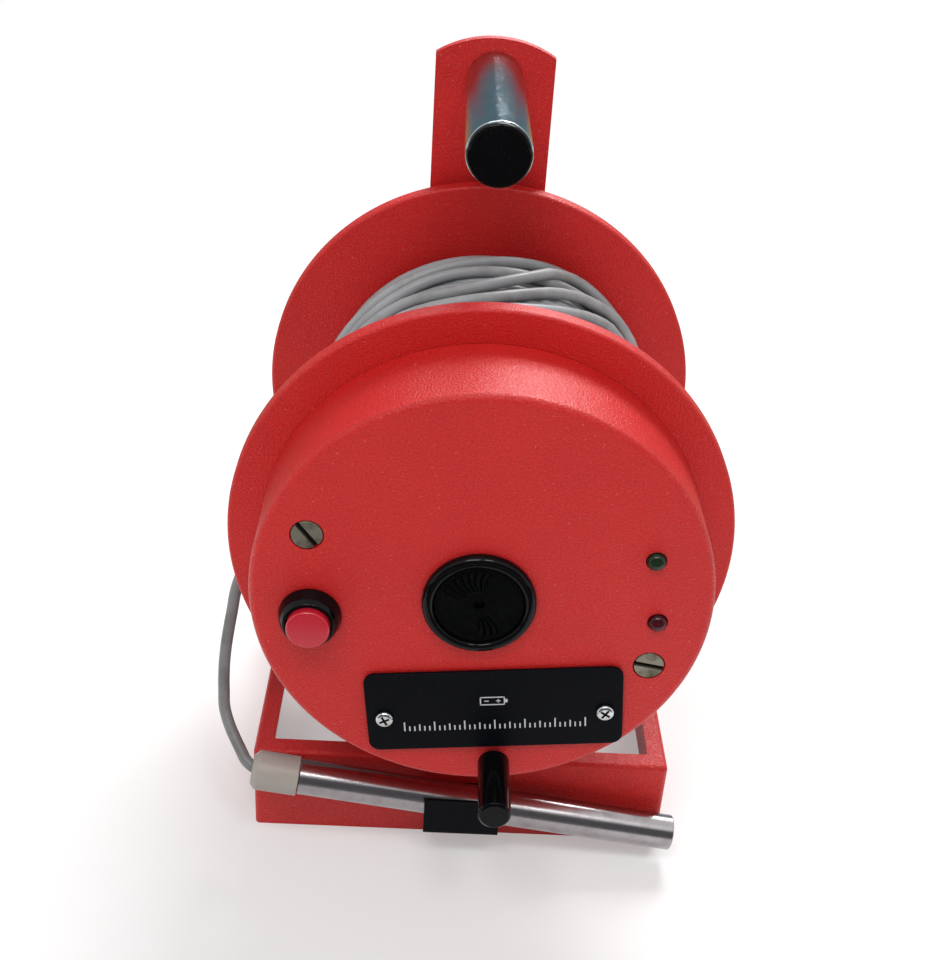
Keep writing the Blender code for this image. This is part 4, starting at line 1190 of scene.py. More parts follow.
    def hang_lamp(
        self,
        name: str,
        at: Sequence[float],
        size: Sequence[float],
        watts: float,
        mirrored: bool = True,
    ) -> None:
        """Hangs a soft lamp.

        Args:
            name: Name of the lamp.
            at: Where it hangs.
            size: Width and height of its panel.
            watts: Power.
            mirrored: Whether shiny pieces show it.
        """
        data = bpy.data.lights.new(name, "AREA")
        data.shape = "RECTANGLE"
        data.size, data.size_y = size
        data.energy = watts
        lamp = bpy.data.objects.new(name, data)
        bpy.context.scene.collection.objects.link(lamp)
        lamp.location = at
        lamp.rotation_mode = "QUATERNION"
        lamp.rotation_quaternion = (Vector((0.0, 0.0, 0.15)) - Vector(at)).to_track_quat("-Z", "Y")
        lamp.visible_glossy = mirrored

    def build(self) -> None:
        """Sets up the whole studio."""
        self.clear()
        bpy.context.scene.view_settings.view_transform = "Standard"
        self.place_camera()
        self.lay_floor()
        self.light_world()
        self.hang_lamp("front_softbox", (-0.35, -1.3, 1.55), (1.2, 1.0), 6.0, mirrored=False)
        self.hang_lamp("back_softbox", (0.4, 1.5, 1.6), (1.0, 0.8), 46.0)
        self.hang_lamp("left_ceiling_panel", (-0.42, -0.95, 1.95), (0.8, 0.5), 11.0)
        self.hang_lamp("right_ceiling_panel", (0.42, -0.95, 1.95), (0.42, 0.4), 6.0)
        upright = Matrix.Rotation(math.pi / 2, 4, "X")
        wide = [(-1.6, 0), (1.6, 0), (1.6, 1), (-1.6, 1)]
        front = Matrix.Translation((0, -2.2, 0)) @ upright @ Matrix.Scale(2.4, 4)
        self.set_card("card_behind_camera", wide, front, "#6c6d70")
        near = Matrix.Translation((0, -1.26, 0.002)) @ Matrix.Scale(0.98, 4)
        self.set_card("card_before_reel", wide, near, "#545456")
        back = Matrix.Translation((0, 2.3, 0)) @ upright @ Matrix.Scale(1.8, 4)
        self.set_card("card_behind_reel", wide, back, "#5f8692")
        beyond = [(-1.5, 0.22), (1.5, 0.22), (1.5, 2.2), (-1.5, 2.2)]
        self.set_card("card_beyond_reel", beyond, Matrix.Translation((0, 0, 0.002)), "#8a7a5c")
        LOG.info("studio ready")


# Cable


@dataclass
class CableWinding(SubAssembly):
    """Cable wound on the drum: two even layers, a looser third one, and crossing turns on top.

    Attributes:
        core: Radius of the drum core.
        near: First cable centre behind the front flange, back from the housing face.
        far: Last cable centre before the rear flange.
        diameter: Of the cable.
        per_turn: Points along one turn.
        leave: Where the free length starts: angle in degrees, radius, and back from the face.
        length: Whole wound length, as a stock length less the free part. Not used.
        even: Turns in each layer that lies side by side.
        loose: Turn by turn, angles round the drum with the place back from the face in mm.
    """

    body: str = "drum"
    core: float = 0.0563
    near: float = 0.0515
    far: float = 0.1758
    diameter: float = 0.005
    per_turn: int = 72
    leave: tuple[float, float, float] = (149.85, 0.07286, 0.0620)
    length: float = 29.8
    even: tuple[int, ...] = (24, 24, 20)
    loose: tuple[tuple[tuple[float, float], ...], ...] = (
        ((40, 174), (62, 168), (90, 157), (120, 150), (150, 146), (230, 150), (310, 158)),
        ((35, 160), (55, 154), (80, 148), (105, 145), (125, 140), (150, 134), (230, 140),
         (310, 150)),
        ((35, 158), (50, 151), (66, 139), (80, 124), (92, 116), (105, 113), (120, 114),
         (150, 112), (230, 114), (310, 126)),
        ((35, 152), (50, 138), (62, 124), (75, 112), (90, 104), (110, 99), (150, 96), (230, 90),
         (310, 100)),
        ((35, 140), (50, 124), (66, 108), (86, 96), (105, 90), (125, 87), (150, 86), (230, 120),
         (310, 160)),
        ((25, 172), (43, 169), (58, 163), (68, 152), (78, 139), (90, 129), (102, 124),
         (120, 127), (150, 122), (230, 104), (310, 90)),
        ((35, 84), (90, 76), (149.85, 62)),
    )

    def plan(self) -> list[tuple[float, float]]:
        """Says where the cable has got to across the drum after so many turns."""
        keys = [(0.0, self.near)]
        done = 0.0
        for index, turns in enumerate(self.even):
            done += turns
            keys.append((done, self.near if index % 2 else self.far))
        for index, turn in enumerate(self.loose):
            keys += [(done + index + angle / 360, place * MM) for angle, place in turn]
        return keys

    def across(self) -> list[float]:
        """Gives the cable's place across the drum at each of its points, on a smooth line."""
        keys = self.plan()
        steps = [(b[1] - a[1]) / (b[0] - a[0]) for a, b in zip(keys, keys[1:])]
        slopes = [0.0]
        for before, after in zip(steps, steps[1:]):
            slopes.append(0.0 if before * after <= 0 else 2 * before * after / (before + after))
        slopes.append(0.0)
        count = round(keys[-1][0] * self.per_turn)
        places: list[float] = []
        segment = 0
        for index in range(count + 1):
            turn = index * keys[-1][0] / count
            while segment < len(keys) - 2 and turn > keys[segment + 1][0]:
                segment += 1
            (start, low), (end, high) = keys[segment], keys[segment + 1]
            wide = end - start
            t = min(1.0, max(0.0, (turn - start) / wide))
            place = low + (high - low) * t
            if segment >= len(self.even):
                place = low + (high - low) * t * t * (3 - 2 * t)
                place += wide * t * (1 - t) * ((1 - t) * slopes[segment] - t * slopes[segment + 1])
            places.append(min(self.far, max(self.near, place)))
        return places

    def lay(self) -> list[Vector]:
        """Lays the cable turn by turn, each on what already lies under it, pulled taut."""
        places = self.across()
        seats: list[list[tuple[float, float]]] = [[] for _ in range(self.per_turn)]
        radii: list[float] = []
        floors: list[float] = []
        lean = 2 * math.cos(2 * math.pi / self.per_turn)
        first = self.core + self.diameter / 2
        for start in range(0, len(places), self.per_turn // 2):
            chunk = range(start, min(start + self.per_turn // 2, len(places)))
            floor = []
            for index in chunk:
                best = first
                for place, radius in seats[index % self.per_turn]:
                    apart = abs(place - places[index])
                    if apart < self.diameter:
                        best = max(best, radius + math.sqrt(self.diameter**2 - apart**2))
                floor.append(best)
            taut = floor[:]
            before = radii[-1] if radii else first
            for _ in range(150):
                for i in range(len(taut)):
                    back = taut[i - 1] if i else before
                    ahead = taut[i + 1] if i + 1 < len(taut) else taut[i]
                    taut[i] = max(floor[i], lean / (1 / back + 1 / ahead))
            for i, index in enumerate(chunk):
                radii.append(taut[i])
                seats[index % self.per_turn].append((places[index], taut[i]))
            floors += floor
        return self.wrapped(places, self.eased(radii, floors))

    def eased(self, radii: list[float], floors: Sequence[float]) -> list[float]:
        """Rounds the bends where one turn climbs over another, as a stiff sheath does.

        Args:
            radii: Of the cable's centre, point by point.
            floors: The least that each can be without pressing into what lies below.

        Returns:
            Smoother radii, at most a soft press of 0.9 mm into the turns below.
        """
        for _ in range(16):
            ends = [radii[0], *radii, radii[-1]]
            radii = [
                max(floor - 0.9 * MM, (back + 2 * here + ahead) / 4)
                for floor, back, here, ahead in zip(floors, ends, ends[1:], ends[2:])
            ]
        return radii

    def wrapped(self, places: Sequence[float], radii: Sequence[float]) -> list[Vector]:
        """Turns places across the drum and radii into points of the row frame."""
        points: list[Vector] = []
        total = self.plan()[-1][0]
        count = len(places) - 1
        ease = self.per_turn // 3
        for index, (place, radius) in enumerate(zip(places, radii)):
            left = max(0.0, 1 - (count - index) / ease)
            reach = radius + (self.leave[1] - radius) * left * left * (3 - 2 * left)
            angle = 2 * math.pi * total * index / count
            across, up = reach * math.cos(angle), reach * math.sin(angle)
            points.append(Vector((across, LAYOUT.face_y + place, LAYOUT.axle_z + up)))
        return points

    def build(self) -> None:
        points = self.lay()
        measured = sum((b - a).length for a, b in zip(points, points[1:]))
        LOG.info("winding: %.2f m in %d points", measured, len(points))
        piece = round_curve("cable_winding", self.diameter, 3)
        spline = piece.data.splines.new("POLY")
        spline.points.add(len(points) - 1)
        for point, place in zip(spline.points, points):
            point.co = (*place, 1.0)
        spline.use_smooth = True
        self.fit(piece, SHEATH, "wound_cable")


# Grey sheath: soft and dull. Its copy on the free lead is darker, as painted shade for the shade
# that the lead hangs in.
SHEATH = CableSheath()
SHADED_LEAD_SHEATH = CableSheath(
    label="grey_pvc_sheath_handled",
    colour="#828485",
    worn="#625f5c",
)


@dataclass
class ProbeLead(SubAssembly):
    """Free length of cable from the winding to the probe's cap.

    Attributes:
        diameter: Of the cable.
        route: Across, back from the housing face and up from the drum axis, as the CAD has them.
        length: Of the free part. Not used.
        bend: Radius of its last bend, out of the probe's cap.
        depth: How far it goes into the cap.
    """

    diameter: float = 0.005
    route: tuple[tuple[float, float, float], ...] = (
        (-0.0630, 0.0620, 0.0366),
        (-0.0706, 0.0616, 0.0236),
        (-0.0806, 0.0609, 0.0058),
        (-0.0900, 0.0598, -0.0140),
        (-0.0964, 0.0586, -0.0285),
        (-0.1001, 0.0573, -0.0395),
        (-0.1018, 0.0560, -0.0492),
        (-0.1034, 0.0543, -0.0586),
        (-0.1046, 0.0521, -0.0675),
        (-0.1051, 0.0493, -0.0760),
        (-0.1049, 0.0460, -0.0840),
        (-0.1040, 0.0419, -0.0918),
    )
    length: float = 0.17
    bend: float = 0.012
    depth: float = 0.005

    def build(self) -> None:
        probe = Probe()
        points = [Vector((x, LAYOUT.face_y + y, LAYOUT.axle_z + z)) for x, y, z in self.route]
        inside = probe.along(probe.cap_end() + self.depth)
        tip = (probe.along(1) - probe.along(0)).normalized()
        aside = Vector((0.0, 1.0, 0.83))
        aside = (aside - aside.project(tip)).normalized()
        for degrees in (60, 45, 30, 15, 0):
            turn = math.radians(degrees)
            across = (1 - math.cos(turn)) * aside
            points.append(inside + self.bend * (across - math.sin(turn) * tip))
        piece = round_curve("cable_to_probe", self.diameter, 5)
        piece.data.resolution_u = 8
        spline = piece.data.splines.new("BEZIER")
        spline.bezier_points.add(len(points) - 1)
        for point, place in zip(spline.bezier_points, points):
            point.co = place
            point.handle_left_type = "AUTO"
            point.handle_right_type = "AUTO"
        # The free lead gets the copy of the sheath that is darkened with painted shade.
        self.fit(piece, SHADED_LEAD_SHEATH, "probe_lead")


# Probe and clip


@dataclass
class Probe(SubAssembly):
    """Dip probe: ground steel tube, turned cap, and the sensing pin in its open end.

    Attributes:
        middle: Point on its axis over the middle of the clip, in the row frame.
        tilt: Open end down, in degrees.
        radius: Of the tube.
        wall: Of the tube.
        past_clip: From the clip's middle to the open end.
        tube_length: Of the tube.
        cap_radius: Of the cap.
        cap_length: Of the cap.
    """

    middle: tuple[float, float, float] = (-0.001, -0.06505, 0.027217)
    tilt: float = 8.3
    radius: float = 0.0075
    wall: float = 0.0015
    past_clip: float = 0.0925
    tube_length: float = 0.1628
    cap_radius: float = 0.0083
    cap_length: float = 0.020

    def frame(self) -> Matrix:
        """Gives the probe's own frame: Z along its axis, towards the open end."""
        turn = Matrix.Rotation(math.pi / 2 + math.radians(self.tilt), 4, "Y")
        return Matrix.Translation(self.middle) @ turn

    def along(self, reach: float) -> Vector:
        """Gives a point on the axis."""
        return self.frame() @ Vector((0, 0, reach))

    def cap_end(self) -> float:
        """Gives the reach of the cap's outer end."""
        return self.past_clip - self.tube_length - self.cap_length

    def build(self) -> None:
        """Makes the tube and the cap, and dresses the insulator and the pin."""
        place = self.frame()
        inner = self.radius - self.wall
        start = self.past_clip - self.tube_length
        end = self.past_clip
        corners = [
            (self.radius, end, 0.5 * MM),
            (self.radius, start, 0.3 * MM),
            (inner, start),
            (inner, end, 0.5 * MM),
        ]
        tube = lathe("probe_barrel", corners, place, 96)
        self.fit(even_shade(tube), STAINLESS, "probe_tube")
        fit = inner - GAP
        entry = 3.1 * MM
        cap = self.cap_end()
        corners = [
            (0, start + 12 * MM),
            (fit, start + 12 * MM),
            (fit, start - GAP),
            (self.cap_radius, start - GAP, 0.5 * MM),
            (self.cap_radius, cap + 2.2 * MM, 1.2 * MM),
            (self.cap_radius - 2.2 * MM, cap, 1.0 * MM),
            (4.6 * MM, cap, 0.3 * MM),
            (entry, cap + 3 * MM, 0.5 * MM),
            (entry, cap + 5.3 * MM),
            (0, cap + 5.3 * MM),
        ]
        self.fit(even_shade(lathe("probe_end_cap", corners, place, 96)), GREY_CAP, "probe_cap")
        dress_nodes(NYLON, "probe_insulator")
        dress_nodes(STAINLESS, "probe_sensor")


@dataclass
class ProbeClip(SubAssembly):
    """Bent strip on the front of the base frame that the probe lies in.

    Attributes:
        across: Its middle.
        width: Of the strip.
        sheet: Thickness.
        inside: Width of the trough.
        base_y: Front of the base frame.
        bottom: Underside of the trough.
        lip: Height of the front lip.
        back: Height of the back leg.
        rivet_reach: Of the rivets, from the strip's middle.
    """

    across: float = -0.001
    width: float = 0.032
    sheet: float = 0.0012
    inside: float = 0.0156
    base_y: float = -0.05575
    bottom: float = 0.0158
    lip: float = 0.0194
    back: float = 0.0135
    rivet_reach: float = 0.009

    def rivet_bores(self, depth: float, segments: int) -> list[bpy.types.Object]:
        """Makes the cutters for the two rivets."""
        height = self.bottom + self.back / 2
        cutters = []
        for side in (-1, 1):
            at = (self.across + side * self.rivet_reach, self.base_y, height)
            place = Matrix.Translation(at) @ ALONG_Y
            cutters.append(drill(RIVET_BORE, depth, place, segments))
        return cutters

    def build(self) -> None:
        """Makes the strip, and dresses its rivets."""
        rear = -GAP
        front = rear - self.inside - 2 * self.sheet
        bend = 1.8 * MM
        inner = bend - self.sheet
        corners = [
            (rear, self.back),
            (rear - self.sheet, self.back),
            (rear - self.sheet, self.sheet, inner),
            (front + self.sheet, self.sheet, inner),
            (front + self.sheet, self.lip),
            (front, self.lip),
            (front, 0, bend),
            (rear, 0, bend),
        ]
        turn = Matrix.Rotation(math.pi / 2, 4, "Z") @ Matrix.Rotation(math.pi / 2, 4, "X")
        place = Matrix.Translation((self.across - self.width / 2, self.base_y, self.bottom)) @ turn
        strip = slab("probe_clip_strip", corners, self.width, place, 6)
        carve(strip, self.rivet_bores(3 * MM, 32))
        self.fit(break_edges(strip, 0.2 * MM), BLACK_COAT, "probe_clip")
        dress_nodes(ZINC, "clip_rivet_1", "clip_rivet_2")


# Fasteners


class Recess(Enum):
    """How a screw is driven."""

    SLOT = "one straight slot"
    CROSS = "a cross"


@dataclass
class ScrewHead:
    """A round-headed screw, its head towards the viewer.

    Attributes:
        name: Name of the piece.
        radius: Of the head.
        height: Of the head.
        crown: Rounding of the head's edge.
        shank: Radius and length of the shank.
        recess: How it is driven.
        width: Of the slot or of the cross's arms.
        depth: Of the slot or cross.
        turn: Of the slot or cross, in degrees.
    """

    name: str
    radius: float
    height: float
    crown: float
    shank: tuple[float, float]
    recess: Recess
    width: float
    depth: float
    turn: float

    def make(self, place: Matrix) -> bpy.types.Object:
        """Makes the screw.

        Args:
            place: Middle of the head's underside, its own Z towards the viewer.

        Returns:
            The screw, cut and with its edges broken.
        """
        pin, length = self.shank
        corners = [
            (0, self.height),
            (self.radius, self.height, self.crown),
            (self.radius, 0),
            (pin, 0),
            (pin, -length, 0.5 * MM),
            (0, -length),
        ]
        screw = lathe(self.name, corners, place, 72, 6)
        half, reach = self.width / 2, self.reach()
        if self.recess is Recess.SLOT:
            outline = [(-reach, -half), (reach, -half), (reach, half), (-reach, half)]
        else:
            arm = [(reach, -half), (reach, half), (half, half)]
            outline = []
            for quarter in range(4):
                turn = Matrix.Rotation(math.radians(90 * quarter), 2)
                outline += [tuple(turn @ Vector(corner)) for corner in arm]
        spin = Matrix.Rotation(math.radians(self.turn), 4, "Z")
        spot = place @ spin @ Matrix.Translation((0, 0, self.height - self.depth))
        carve(screw, [slab("recess", outline, 3 * self.depth, spot, 1)])
        return break_edges(screw, 0.1 * MM, 2)

    def reach(self) -> float:
        """Gives half the length of the slot, or of the cross."""
        return 1.5 * self.radius if self.recess is Recess.SLOT else 0.62 * self.radius

    def shade_recess(self, screw: bpy.types.Object) -> None:
        """Darkens the floor and the walls of the recess with painted shade.

        Args:
            screw: The finished and dressed screw.
        """
        screw.data.materials.append(RECESS_SHADE.material())
        spin = Matrix.Rotation(-math.radians(self.turn), 4, "Z")
        half, reach = self.width / 2 + 0.02 * MM, self.reach() + 0.02 * MM
        for face in screw.data.polygons:
            spot = spin @ face.center
            low, high = sorted((abs(spot.x), abs(spot.y)))
            deep = self.height - self.depth - 0.02 * MM < spot.z < self.height - 0.15 * MM
            if self.recess is Recess.SLOT:
                low, high = abs(spot.y), abs(spot.x)
            if deep and low < half and high < min(reach, self.radius * 0.97):
                face.material_index = 1


@dataclass
class HexFastener(SubAssembly):
    """Hexagon nuts, bolts and washers of the stand, as the back of the reel shows them.

    Attributes:
        foot_bolts: Across and up of the four foot bolts.
        washer_thickness: Of both washers.
    """

    foot_bolts: tuple[tuple[float, float], ...] = (
        (-0.0178, 0.0155),
        (0.0142, 0.0155),
        (-0.0178, 0.0295),
        (0.0142, 0.0295),
    )
    washer_thickness: float = 0.0016

    def head(
        self,
        name: str,
        across: float,
        height: float,
        place: Matrix,
        shank: tuple[float, float],
        hole: float = 0.0,
    ) -> bpy.types.Object:
        """Makes a hexagon head or nut whose corners are turned off.

        Args:
            name: Name of the piece.
            across: Size across its flats.
            height: Of the hexagon.
            place: Middle of the face that bears, its own Z away from it.
            shank: Radius and length of the shank behind that face.
            hole: Radius of its hole, if it is a nut.

        Returns:
            The fastener.
        """
        corner = across / math.sqrt(3)
        flats = arc((0, 0), corner, 0, 300, 5)
        piece = slab(name, flats, height, place, 1)
        blank = [
            (0, height),
            (across * 0.47, height),
            (corner * 1.03, height - (corner - across * 0.44) * 0.55),
            (corner * 1.03, -1 * MM),
            (0, -1 * MM),
        ]
        carve(piece, [lathe("blank", blank, place, 96)], "INTERSECT")
        if hole:
            cone = [
                (0, height + 1 * MM),
                (hole + 1.6 * MM, height + 1 * MM),
                (hole, height - 0.6 * MM),
                (hole, -1 * MM),
                (0, -1 * MM),
            ]
            carve(piece, [lathe("cone", cone, place, 64)])
        if shank[1]:
            pin, length = shank
            body = [(0, height / 2), (pin, height / 2), (pin, -length, 0.6 * MM), (0, -length)]
            carve(piece, [lathe("shank", body, place, 48)], "UNION")
        return break_edges(piece, 0.15 * MM, 2, 28)

    def behind(self, across: float, up: float, clear: float) -> Matrix:
        """Gives a place behind the upright, over the floor, its own Z backwards."""
        back = LAYOUT.face_y + LAYOUT.upright + LAYOUT.upright_thickness
        return Matrix.Translation((across, back + clear, up)) @ ALONG_Y

    def washer(self, name: str, radius: float, hole: float, place: Matrix) -> bpy.types.Object:
        """Makes a flat washer whose edges are rounded by stamping."""
        thick = self.washer_thickness
        corners = [(radius, thick, 0.3 * MM), (radius, 0, 0.2 * MM), (hole, 0), (hole, thick)]
        return even_shade(lathe(name, corners, place, 72))

    def build(self) -> None:
        """Makes the foot bolts, the handle bolt, the axle's rear nut and the washers."""
        for number, (x, z) in enumerate(self.foot_bolts, 1):
            place = self.behind(x, z, GAP)
            bolt = self.head(f"foot_bolt_{number}", 10 * MM, 4 * MM, place, (3 * MM, 14.3 * MM))
            self.fit(bolt, ZINC, f"upright_bolt_{number}")
            dress_nodes(ZINC, f"upright_nut_{number}")
        over = self.washer_thickness + 2 * GAP
        x, z = LAYOUT.stand_across, LAYOUT.axle_z + Upright().handle
        washer = self.washer("handle_bolt_washer", 8 * MM, HANDLE_BORE, self.behind(x, z, GAP))
        self.fit(washer, ZINC, "handle_washer")
        place = self.behind(x, z, over)
        bolt = self.head("handle_hex_bolt", 13 * MM, 5.3 * MM, place, (4 * MM, 21.2 * MM))
        self.fit(bolt, ZINC, "handle_bolt")
        x, z = 0.0, LAYOUT.axle_z
        washer = self.washer("axle_washer_behind", 12 * MM, AXLE_BORE, self.behind(x, z, GAP))
        self.fit(washer, ZINC, "axle_rear_washer")
        place = self.behind(x, z, over)
        nut = self.head("axle_nut_behind", 19 * MM, 10 * MM, place, (0, 0), hole=AXLE_BORE)
        self.fit(nut, ZINC, "axle_rear_nut")


@dataclass
class Axle(SubAssembly):
    """Stepped axle, whose threaded tail shows behind the nut.

    Attributes:
        tail: Length behind the upright's front face.
        radius: Of the tail.
        root: Radius at the bottom of the tail's thread.
        pitch: Of the tail's thread.
        shoulder: Radius and length of the shoulder before the upright.
        shaft: Radius and length of the part that the drum turns on.
        nose: Radius and length of the part for the front nut.
        chamfer: Of both ends.
    """

    tail: float = 0.0192
    radius: float = 0.006
    root: float = 0.0053
    pitch: float = 0.00175
    shoulder: tuple[float, float] = (0.011, 0.0024)
    shaft: tuple[float, float] = (0.007, 0.1505)
    nose: tuple[float, float] = (0.005, 0.1607)
    chamfer: float = 0.0008

    def build(self) -> None:
        """Makes the axle with a thread on its tail."""
        corners: list[tuple[float, ...]] = [
            (0, self.tail),
            (self.radius - self.chamfer, self.tail, 0.2 * MM),
        ]
        height = self.tail - self.chamfer
        while height > self.tail - 6 * MM:
            corners += [
                (self.radius, height),
                (self.radius, height - self.pitch * 0.25),
                (self.root, height - self.pitch * 0.6),
            ]
            height -= self.pitch
        corners += [
            (self.radius, height),
            (self.radius, -GAP),
            (self.shoulder[0], -GAP, 0.3 * MM),
            (self.shoulder[0], -self.shoulder[1], 0.3 * MM),
            (self.shaft[0], -self.shoulder[1]),
            (self.shaft[0], -self.shaft[1]),
            (self.nose[0], -self.shaft[1]),
            (self.nose[0], self.chamfer - self.nose[1]),
            (self.nose[0] - self.chamfer, -self.nose[1]),
            (0, -self.nose[1]),
        ]
        place = LAYOUT.at(0, LAYOUT.upright, 0)
        self.fit(even_shade(lathe("axle_turned", corners, place, 72, 3)), STAINLESS, "axle")


# Stand


@dataclass
class BaseFrame(SubAssembly):
    """Folded sheet frame with a return lip, open in the middle and below.

    Attributes:
        width: Across.
        height: Of its walls.
        front: Its front wall.
        depth: Front to back.
        sheet: Thickness with its coat.
        lip: Width of the return lip.
        bend: Outer radius of the folds.
    """

    width: float = 0.179
    height: float = 0.0422
    front: float = -0.05575
    depth: float = 0.1573
    sheet: float = 0.0016
    lip: float = 0.0083
    bend: float = 0.0022

    def build(self) -> None:
        """Makes the frame from an open box, with its window and holes cut."""
        work = bmesh.new()
        bmesh.ops.create_cube(work, size=1.0)
        bmesh.ops.scale(work, vec=(self.width, self.depth, self.height), verts=work.verts)
        under = [face for face in work.faces if face.normal.z < -0.5]
        bmesh.ops.delete(work, geom=under, context="FACES_ONLY")
        centre = (LAYOUT.stand_across, self.front + self.depth / 2, self.height / 2)
        middle = Matrix.Translation(centre)
        base = new_piece("base_folded_frame", work, middle)
        folds = base.modifiers.new("Folds", "BEVEL")
        folds.width = self.bend
        folds.segments = 5
        folds.limit_method = "ANGLE"
        sheet = base.modifiers.new("Sheet", "SOLIDIFY")
        sheet.thickness = self.sheet
        sheet.offset = -1
        sheet.use_even_offset = True
        settle(base)
        top = middle @ Matrix.Translation((0, 0, self.height / 2))
        size = (self.width - 2 * self.lip, self.depth - 2 * self.lip, 3 * self.sheet)
        cutters = [self.window(size, top)]
        wall = self.front + self.depth
        for x, z in HexFastener().foot_bolts:
            place = Matrix.Translation((x, wall, z)) @ ALONG_Y
            cutters.append(drill(FOOT_BORE, 6 * MM, place, 32))
        cutters += ProbeClip().rivet_bores(5 * MM, 24)
        carve(base, cutters)
        self.fit(break_edges(base, 0.35 * MM, 2, 50), RED_COAT, "base_frame")

    def window(self, size: Sequence[float], place: Matrix) -> bpy.types.Object:
        """Makes the cutter of the opening in the top, with small corner radii."""
        x, y = size[0] / 2, size[1] / 2
        corners = [(-x, -y, 1 * MM), (x, -y, 1 * MM), (x, y, 1 * MM), (-x, y, 1 * MM)]
        return slab("window", corners, size[2], place @ Matrix.Translation((0, 0, -size[2] / 2)), 4)


@dataclass
class Upright(SubAssembly):
    """Flat bar behind the drum, with an arched top.

    Attributes:
        width: Of the bar.
        foot: Height of its lower end.
        corner: Height of the arch's ends above the axle.
        rise: Of the arch.
        handle: Height of the handle above the axle.
    """

    width: float = 0.0524
    foot: float = 0.008
    corner: float = 0.1543
    rise: float = 0.0076
    handle: float = 0.1435

    def build(self) -> None:
        """Makes the bar with its holes."""
        half = self.width / 2
        radius = (half**2 + self.rise**2) / (2 * self.rise)
        reach = math.degrees(math.asin(half / radius))
        top = self.corner + self.rise - radius
        bottom = self.foot - LAYOUT.axle_z
        arch = arc((0, top), radius, 90 - reach, 90 + reach, 40)
        outline = [(-half, bottom), (half, bottom), *arch]
        behind = LAYOUT.upright + LAYOUT.upright_thickness
        place = LAYOUT.at(LAYOUT.stand_across, behind, 0, FACING_FRONT)
        bar = slab("upright_bar", outline, LAYOUT.upright_thickness, place, 1)
        bores = [(AXLE_BORE, 0.0, 0.0), (HANDLE_BORE, LAYOUT.stand_across, self.handle)]
        bores += [(FOOT_BORE, x, z - LAYOUT.axle_z) for x, z in HexFastener().foot_bolts]
        carve(bar, [drill(r, 12 * MM, LAYOUT.at(x, LAYOUT.upright, up)) for r, x, up in bores])
        self.fit(break_edges(bar, 0.6 * MM, 3), RED_COAT, "upright_plate")


@dataclass
class CarryHandle(SubAssembly):
    """Chromed tube handle with a black plug in its front end.

    Attributes:
        radius: Of the tube.
        wall: Of the tube.
        reach: From the upright's front face to the plug's end.
        plug_radius: Of the plug's head.
        plug_head: Thickness of the plug's head.
    """

    radius: float = 0.0127
    wall: float = 0.0015
    reach: float = 0.1108
    plug_radius: float = 0.0122
    plug_head: float = 0.0022

    def build(self) -> None:
        """Makes the tube and its plug."""
        place = LAYOUT.at(LAYOUT.stand_across, LAYOUT.upright, Upright().handle)
        front = -(self.reach - self.plug_head - GAP)
        inner = self.radius - self.wall
        corners = [
            (self.radius, -GAP),
            (self.radius, front, 0.6 * MM),
            (inner, front, 0.3 * MM),
            (inner, -GAP),
        ]
        tube = lathe("handle_chromed_tube", corners, place, 144)
        self.fit(even_shade(tube), CHROME, "handle_tube")
        fit = inner - GAP
        corners = [
            (0, front + 12 * MM),
            (fit - 0.8 * MM, front + 12 * MM),
            (fit, front + 10 * MM),
            (fit, front - GAP),
            (self.plug_radius, front - GAP, 0.2 * MM),
            (self.plug_radius, -self.reach, 1.3 * MM),
            (0, -self.reach),
        ]
        plug = lathe("handle_front_plug", corners, place, 128, 6)
        self.fit(even_shade(plug), BLACK_GLOSS, "handle_end_plug")
        dress_nodes(ZINC, "handle_anchor")


# Drum


